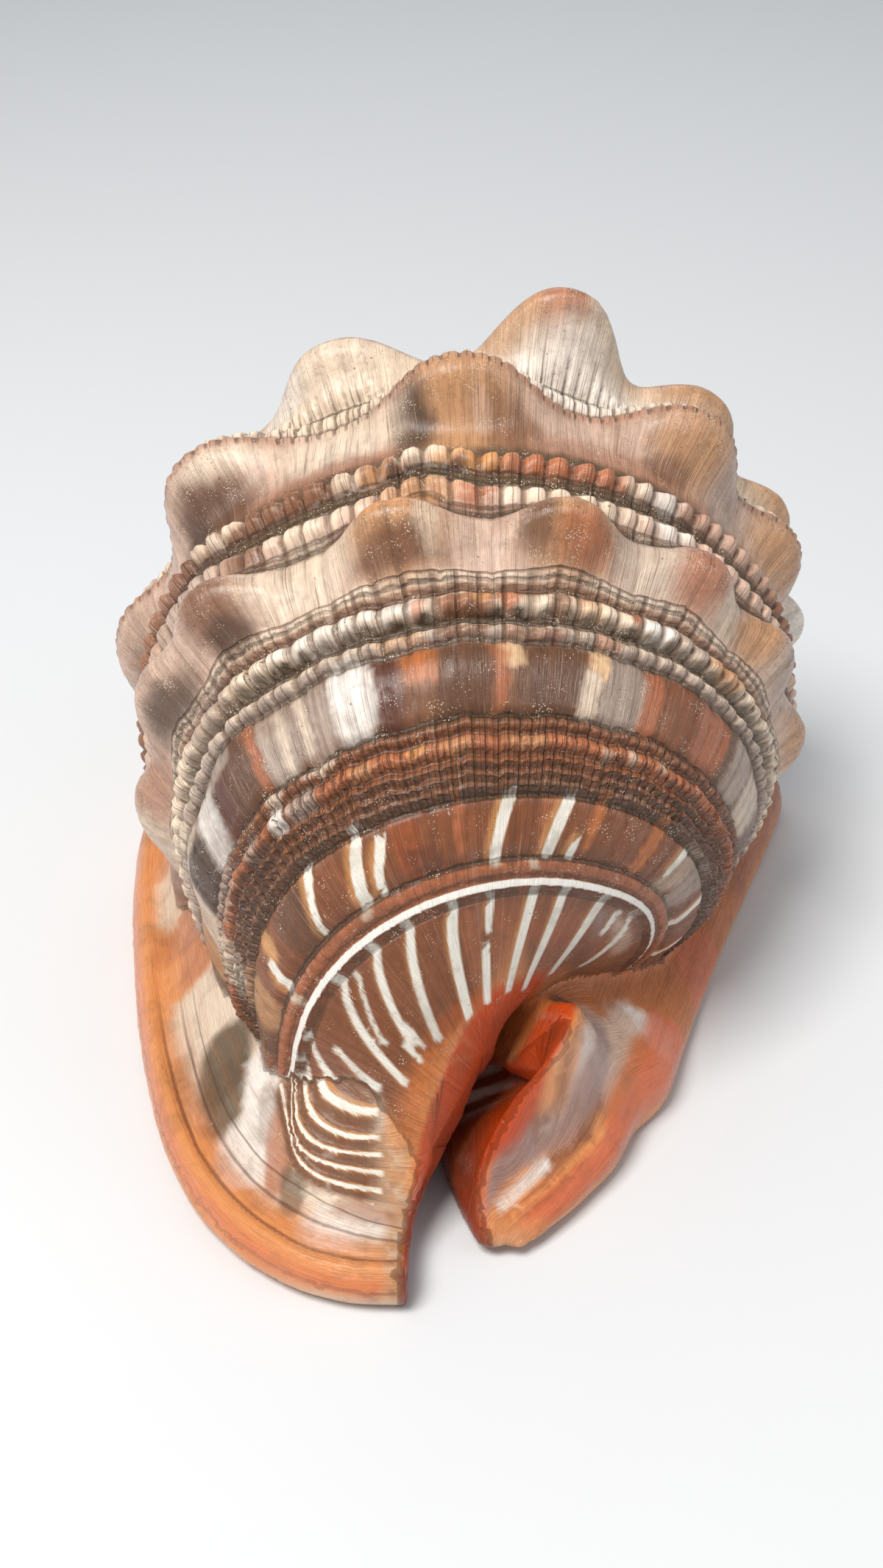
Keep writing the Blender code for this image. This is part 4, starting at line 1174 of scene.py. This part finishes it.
def canal_wall(spot, upright):
    """The red-orange wall of the canal, between the base and the crest of the inner lip."""
    x, y, z = spot.p.T
    canal_side, _ = beside(x, y, CANAL_EDGE)
    crest_side, _ = beside(x, y, CREST_EDGE)
    wall = np.maximum(
        smooth(0.2, -0.7, canal_side),
        smooth(2.4, 0.8, canal_side) * smooth(0.62, 0.35, upright),
    )
    wall = wall * smooth(-0.1, 0.6, crest_side) * smooth(4.5, 6.5, z)
    wall = wall * smooth(-39.0, -40.5, y) * (y > -64) * (x > -8)
    return wall * np.where(spot.body > 0.5, smooth(112.4, 113.3, spot.s), 1.0) * (z < 34)


def paint(spot, high, upright):
    """The shell's colours, laid on in washes over the ground, with painted highlights and painted shade on the
    crest and painted shadow low in the canal.
    """
    x, y, z = spot.p.T
    lip = underneath(lip_colours(spot), spot, COPPER)
    shield = underneath(shield_colours(spot), spot, MAROON)
    parts = (
        (spot.body, whorl_colours(spot, high)),
        (spot.lip, lip),
        (spot.shield, shield),
        (spot.inside, hollow_colours(spot)),
    )
    total = sum(weight for weight, _ in parts)
    mix = sum(weight[:, None] * colour for weight, colour in parts) / np.maximum(total, 1e-6)[:, None]
    _, region = plaits(spot)
    mix = lay(mix, region * 0.95, BROWN)
    mix = lay(mix, region * 0.5 * smooth(-0.2, 0.7, wander(x * 0.9 - y * 0.7, 1.0)), CHESTNUT)
    outside = smooth(2.5, 4.5, z) * (1 - 0.8 * spot.inside)
    outside *= np.where(spot.body > 0.5, smooth(106.8, 107.6, spot.s), 1.0)
    near = (x > -8) & (x < 38) & (y < -26)
    # Strokes of colour, among them painted highlights and painted shade on the crest.
    for *path, w0, w1, soft, shade, strength in STROKES:
        mask = np.zeros(len(x))
        mask[near] = smooth(-soft, soft * 0.6, bow(x[near], y[near], path, w0, w1))
        mix = lay(mix, strength * mask * outside, shade)
    wall = canal_wall(spot, upright)
    mix = lay(mix, 0.95 * wall, CORAL)
    # Painted shadow: the canal wall darkens low down, towards the table.
    mix = lay(mix, 0.75 * wall * (1 - smooth(5, 14, z)), MAROON)
    return np.clip(mix, 0.0, 1.0)


def put(mesh, name, values, kind="FLOAT"):
    layer = mesh.attributes.new(name, kind, "POINT")
    if kind == "FLOAT":
        layer.data.foreach_set("value", np.asarray(values, np.float32))
    else:
        full = np.ones((len(values), 4), np.float32)
        full[:, :3] = values
        layer.data.foreach_set("color", full.ravel())


def dress(shell, trees):
    """Colours, stripes, levels and growth lines are written on the shell for its finish to read."""
    spot = Spots(points_of(shell), trees)
    high, sunk = relief(spot)
    inside, edge = stripe_field(spot.angle, spot.s)
    flow = cord_level(spot.angle, spot.s)
    count, region = plaits(spot)
    whorl, lip, shield = spot.body > 0.5, spot.lip > 0.5, spot.shield > 0.5
    across = np.where(shield, spot.shield_rim * RIM_LINES + SHIELD_START, spot.angle * 0.9)
    across = np.where(lip, spot.lip_rim * RIM_LINES + LIP_START, across)
    along = np.where(shield, spot.shield_way, spot.s)
    along = np.where(lip, np.where(spot.p[:, 2] > 4.0, spot.lip_way, 0.0), along)
    put(shell.data, "tint", paint(spot, high, normals_of(shell)[:, 2]), "FLOAT_COLOR")
    put(shell.data, "plait", count)
    put(shell.data, "plaited", region)
    put(shell.data, "stripe", np.where(whorl, inside, NO_STRIPE))
    put(shell.data, "honey", np.where(whorl, edge, NO_STRIPE))
    put(shell.data, "groove", sunk * spot.body)
    put(shell.data, "level", np.where(whorl, flow, NO_LEVEL))
    put(shell.data, "bead", bead_phase(spot.angle, flow))
    put(shell.data, "across", across)
    put(shell.data, "along", along)
    put(shell.data, "skin", spot.body)
    put(shell.data, "knob", np.where(whorl, knob_field(spot), 0.0))


class Wire:
    """A value inside a finish; sums and products of wires add the nodes that work them out."""

    def __init__(self, finish, socket):
        self.finish, self.socket = finish, socket

    def __add__(self, other):
        return self.finish.math("ADD", self, other)

    def __sub__(self, other):
        return self.finish.math("SUBTRACT", self, other)

    def __rsub__(self, other):
        return self.finish.math("SUBTRACT", other, self)

    def __mul__(self, other):
        return self.finish.math("MULTIPLY", self, other)

    def __truediv__(self, other):
        return self.finish.math("DIVIDE", self, other)

    def __abs__(self):
        return self.finish.math("ABSOLUTE", self)


class Mixer:
    """Short names for wiring a finish."""

    def __init__(self, name):
        self.mat = bpy.data.materials.new(name)
        self.mat.use_nodes = True
        self.tree = self.mat.node_tree
        self.shader = self.tree.nodes["Principled BSDF"]

    def feed(self, socket, item):
        """A wire is linked in; a number or a colour is set on the socket."""
        if isinstance(item, Wire):
            self.tree.links.new(item.socket, socket)
        elif isinstance(item, tuple):
            socket.default_value = (*linear(item), 1)
        else:
            socket.default_value = item

    def add(self, kind, out, inputs=(), **settings):
        node = self.tree.nodes.new(kind)
        for key, value in settings.items():
            setattr(node, key, value)
        for key, item in inputs:
            self.feed(node.inputs[key], item)
        return Wire(self, node.outputs[out])

    def value(self, name, out="Fac"):
        return self.add("ShaderNodeAttribute", out, attribute_name=name)

    def math(self, operation, first, second=0.0, clamp=False):
        return self.add("ShaderNodeMath", 0, ((0, first), (1, second)), operation=operation, use_clamp=clamp)

    def strongest(self, wires):
        best = wires[0]
        for wire in wires[1:]:
            best = self.math("MAXIMUM", best, wire)
        return best

    def ramp(self, value, low, high, out_low=0.0, out_high=1.0):
        given = (("Value", value), ("From Min", low), ("From Max", high))
        wanted = (("To Min", out_low), ("To Max", out_high))
        return self.add("ShaderNodeMapRange", "Result", given + wanted, interpolation_type="SMOOTHSTEP")

    def noise(self, vector, scale, detail=3.0, rough=0.55):
        inputs = (("Vector", vector), ("Scale", scale), ("Detail", detail), ("Roughness", rough))
        return self.add("ShaderNodeTexNoise", "Fac", inputs)

    def cells(self, vector, scale):
        """Distance to the nearest of many scattered points."""
        inputs = (("Vector", vector), ("Scale", scale), ("Randomness", 1.0))
        return self.add("ShaderNodeTexVoronoi", "Distance", inputs, feature="F1")

    def mix(self, factor, first, second):
        inputs = ((0, factor), (6, first), (7, second))
        return self.add("ShaderNodeMix", 2, inputs, data_type="RGBA", blend_type="MIX")


def lines_at(m, level, lines):
    """Crisp lines along the whorl at the given levels."""
    return m.strongest([m.ramp(abs(level - at), half * 1.5, half * 0.3) for at, half in lines])


def zones_at(m, level, zones):
    """Broad bands along the whorl between the given levels."""
    drawn = []
    for low, high, fade in zones:
        drawn.append(m.ramp(level, low - fade, low + fade) * m.ramp(level, high + 0.5, high - 0.5))
    return m.strongest(drawn)


def shell_finish():
    m = Mixer("glazed shell")
    tint = m.value("tint", "Color")
    place_at = m.add("ShaderNodeTexCoord", "Object")
    skin, knob, groove, level = m.value("skin"), m.value("knob"), m.value("groove"), m.value("level")
    across, along = m.value("across"), m.value("along")

    def streaks(scale, stretch, detail):
        """Thin streaks that run along the growth edge."""
        line = m.add("ShaderNodeCombineXYZ", 0, ((0, across), (1, along * stretch)))
        return m.noise(line, scale, detail, 0.6)

    broad = streaks(0.7, 0.10, 4.0)
    fine = streaks(3.0, 0.030, 3.0)
    hair = streaks(7.0, 0.012, 2.0)
    mottle = m.noise(place_at, 240.0, 4.0, 0.6)
    grain = m.noise(place_at, 1500.0, 3.0, 0.6)
    cloud = m.noise(place_at, 90.0, 3.0, 0.6)
    # Streaks darken and lighten the ground, less so on the worn tops of the knobs.
    worn = (skin * 0.6 + 0.4) * (1.0 - knob * 0.75)
    streak = broad * 0.45 + fine * 0.55
    colour = m.mix(m.ramp(streak, 0.50, 0.34) * 0.5 * worn, tint, UMBER)
    colour = m.mix(m.ramp(streak, 0.54, 0.70) * 0.28 * worn, colour, CREAM)
    colour = m.mix(m.ramp(hair, 0.41, 0.33) * 0.55 * worn, colour, UMBER)
    # White stripes with honey edges.
    rough_edge = (fine - 0.5) * 0.5
    stripe = m.value("stripe") + rough_edge
    honey = m.value("honey") + rough_edge
    colour = m.mix(m.ramp(honey, -0.1, 0.9) * 0.7, colour, HONEY)
    colour = m.mix(m.ramp(stripe, -0.25, 0.12), colour, CHALK)
    # Plaits: white with a honey edge on the inner side.
    plait = m.value("plait") + (fine - 0.5) * 0.25
    plait = m.math("FRACT", plait + 0.5) - 0.5
    plaited = m.value("plaited") + (cloud - 0.5) * 1.1
    honeyed = m.ramp(abs(plait + 0.05), 0.29, 0.19) * m.ramp(plaited, 0.3, 0.7)
    whitened = m.ramp(abs(plait), 0.19, 0.11) * m.ramp(plaited, 0.35, 0.65)
    colour = m.mix(honeyed * 0.7, colour, HONEY)
    colour = m.mix(whitened, colour, BONE)
    # Grime in hair lines, clouds and specks.
    colour = m.mix(m.ramp(hair, 0.40, 0.33) * 0.25 * skin, colour, UMBER)
    colour = m.mix(m.ramp(cloud, 0.48, 0.30) * 0.28, colour, UMBER)
    colour = m.mix(m.ramp(mottle, 0.48, 0.34) * 0.20, colour, BROWN)
    colour = m.mix(m.ramp(grain, 0.5, 0.35) * knob * 0.35, colour, UMBER)
    # Dark lines between cords, deepened as painted shade in the grooves, and painted shade in the notches
    # between beads.
    seam = lines_at(m, level, SEAMS) * skin
    beaded = zones_at(m, level, BEADED) * skin
    count = m.value("bead") * math.pi
    main_gap = m.ramp(abs(m.math("SINE", count)), 0.55, 0.04)
    half_gap = m.ramp(abs(m.math("SINE", count * 2.0)), 0.30, 0.0)
    notch = m.strongest((main_gap, half_gap * 0.4)) * beaded
    colour = m.mix(notch * 0.62, colour, UMBER)
    colour = m.mix(seam * m.ramp(mottle, 0.30, 0.62, 0.35, 1.0) * 0.66, colour, DARK)
    # Dark growth rests along the front of the outer lip.
    rim = (across - LIP_START) / RIM_LINES + (cloud - 0.5) * 0.6
    front = m.ramp(along, 92.0, 118.0) * m.math("LESS_THAN", rim, 20.0)
    colour = m.mix(lines_at(m, rim, LIP_RESTS) * front * 0.6, colour, MAROON)
    # The white line round the base.
    ring = m.ramp(abs(level - RING_LEVEL), 0.46, 0.30) * skin
    colour = m.mix(ring, colour, SNOW)
    # Sand and dirt lie in the grooves.
    dirt = m.math("MULTIPLY", groove, m.ramp(grain, 0.30, 0.62, 0.55, 1.0), clamp=True)
    colour = m.mix(m.ramp(dirt, 0.10, 0.9) * 0.55, colour, OLIVE)
    seldom = m.noise(place_at, 330.0, 2.0, 0.5)
    spread = m.ramp(seldom + knob * 0.10, 0.42, 0.72, 0.05, 0.30) + groove * 0.12
    grains = m.math("LESS_THAN", m.cells(place_at, 2600.0), spread * skin)
    colour = m.mix(grains * 0.7, colour, CREAM)
    pit = m.math("LESS_THAN", m.cells(place_at, 900.0), m.ramp(mottle, 0.5, 0.7, 0.0, 0.17) * skin)
    colour = m.mix(pit * 0.6, colour, DARK)
    inputs = (("Saturation", 1.05), ("Value", 1.13), ("Color", colour))
    m.feed(m.shader.inputs["Base Color"], m.add("ShaderNodeHueSaturation", "Color", inputs))
    # Satin, glossier on the knobs than in the grooves.
    gloss = groove * 0.30 + grain * 0.16 + 0.21
    gloss = m.math("ADD", gloss, grains * 0.3, clamp=True)
    m.feed(m.shader.inputs["Roughness"], gloss)
    m.shader.inputs["Specular IOR Level"].default_value = 0.38
    m.shader.inputs["Coat Weight"].default_value = 0.18
    m.shader.inputs["Coat Roughness"].default_value = 0.22
    height = fine * 0.5 + hair * 0.4 + grain * 0.14 + grains * 0.25 - pit * 0.25 - seam * 0.8 - notch * 1.1
    inputs = (("Strength", 0.8), ("Distance", 0.0005), ("Height", height))
    m.feed(m.shader.inputs["Normal"], m.add("ShaderNodeBump", "Normal", inputs))
    return m.mat


def floor():
    bpy.ops.object.select_all(action="DESELECT")
    bpy.ops.mesh.primitive_plane_add(size=6.0, location=(0, 0, -0.0002))
    ground = bpy.context.active_object
    ground.name = "studio floor"
    bpy.ops.object.transform_apply(location=True, rotation=False, scale=False)
    m = Mixer("pale paper")
    fibre = m.noise(m.add("ShaderNodeTexCoord", "Object"), 60.0, 3.0, 0.5)
    m.feed(m.shader.inputs["Base Color"], m.mix(fibre * 0.12, (226, 228, 230), (214, 217, 221)))
    m.shader.inputs["Roughness"].default_value = 0.9
    ground.data.materials.append(m.mat)


def softbox(name, where, aim, size, power, colour=(1, 1, 1)):
    light = bpy.data.lights.new(name, "AREA")
    light.shape = "RECTANGLE"
    light.size, light.size_y = size
    light.energy = power
    light.color = colour
    obj = bpy.data.objects.new(name, light)
    obj.location = where
    obj.rotation_euler = (Vector(aim) - Vector(where)).to_track_quat("-Z", "Y").to_euler()
    bpy.context.scene.collection.objects.link(obj)


def light_and_camera():
    scene = bpy.context.scene
    world = scene.world or bpy.data.worlds.new("studio")
    scene.world = world
    world.use_nodes = True
    sky = world.node_tree.nodes["Background"]
    sky.inputs["Color"].default_value = (0.93, 0.96, 1.0, 1)
    sky.inputs["Strength"].default_value = 0.38
    aim = (0, 0, 0.04)
    softbox("key", (-0.25, -0.25, 0.75), aim, (0.35, 0.35), 6.4, (1.0, 0.97, 0.93))
    softbox("fill", (0.7, -0.2, 0.5), aim, (0.5, 0.5), 0.7, (0.92, 0.96, 1.0))
    softbox("back", (0.0, 0.8, 0.6), aim, (0.7, 0.4), 1.0, (0.95, 0.97, 1.0))
    cam = bpy.data.cameras.new("camera")
    cam.sensor_fit = "VERTICAL"
    cam.sensor_height = 36
    cam.lens = FOCAL_LENGTH
    cam.clip_start = 0.01
    obj = bpy.data.objects.new("camera", cam)
    down = math.radians(CAMERA_PITCH)
    spot = CAMERA_AIM + MIDDLE + CAMERA_DISTANCE * np.array([0, -math.cos(down), math.sin(down)])
    obj.location = (spot * MM).tolist()
    obj.rotation_euler = (math.radians(90 - CAMERA_PITCH), 0, 0)
    scene.collection.objects.link(obj)
    scene.camera = obj
    scene.view_settings.view_transform = "Standard"


def build():
    shell, trees = make_shell()
    dress(shell, trees)
    shell.data.materials.clear()
    shell.data.materials.append(shell_finish())
    alone(shell)
    bpy.ops.object.shade_smooth()
    shell.data.name = "helmet_shell"
    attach(shell, "root")
    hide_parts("shell")
    floor()
    light_and_camera()


build()
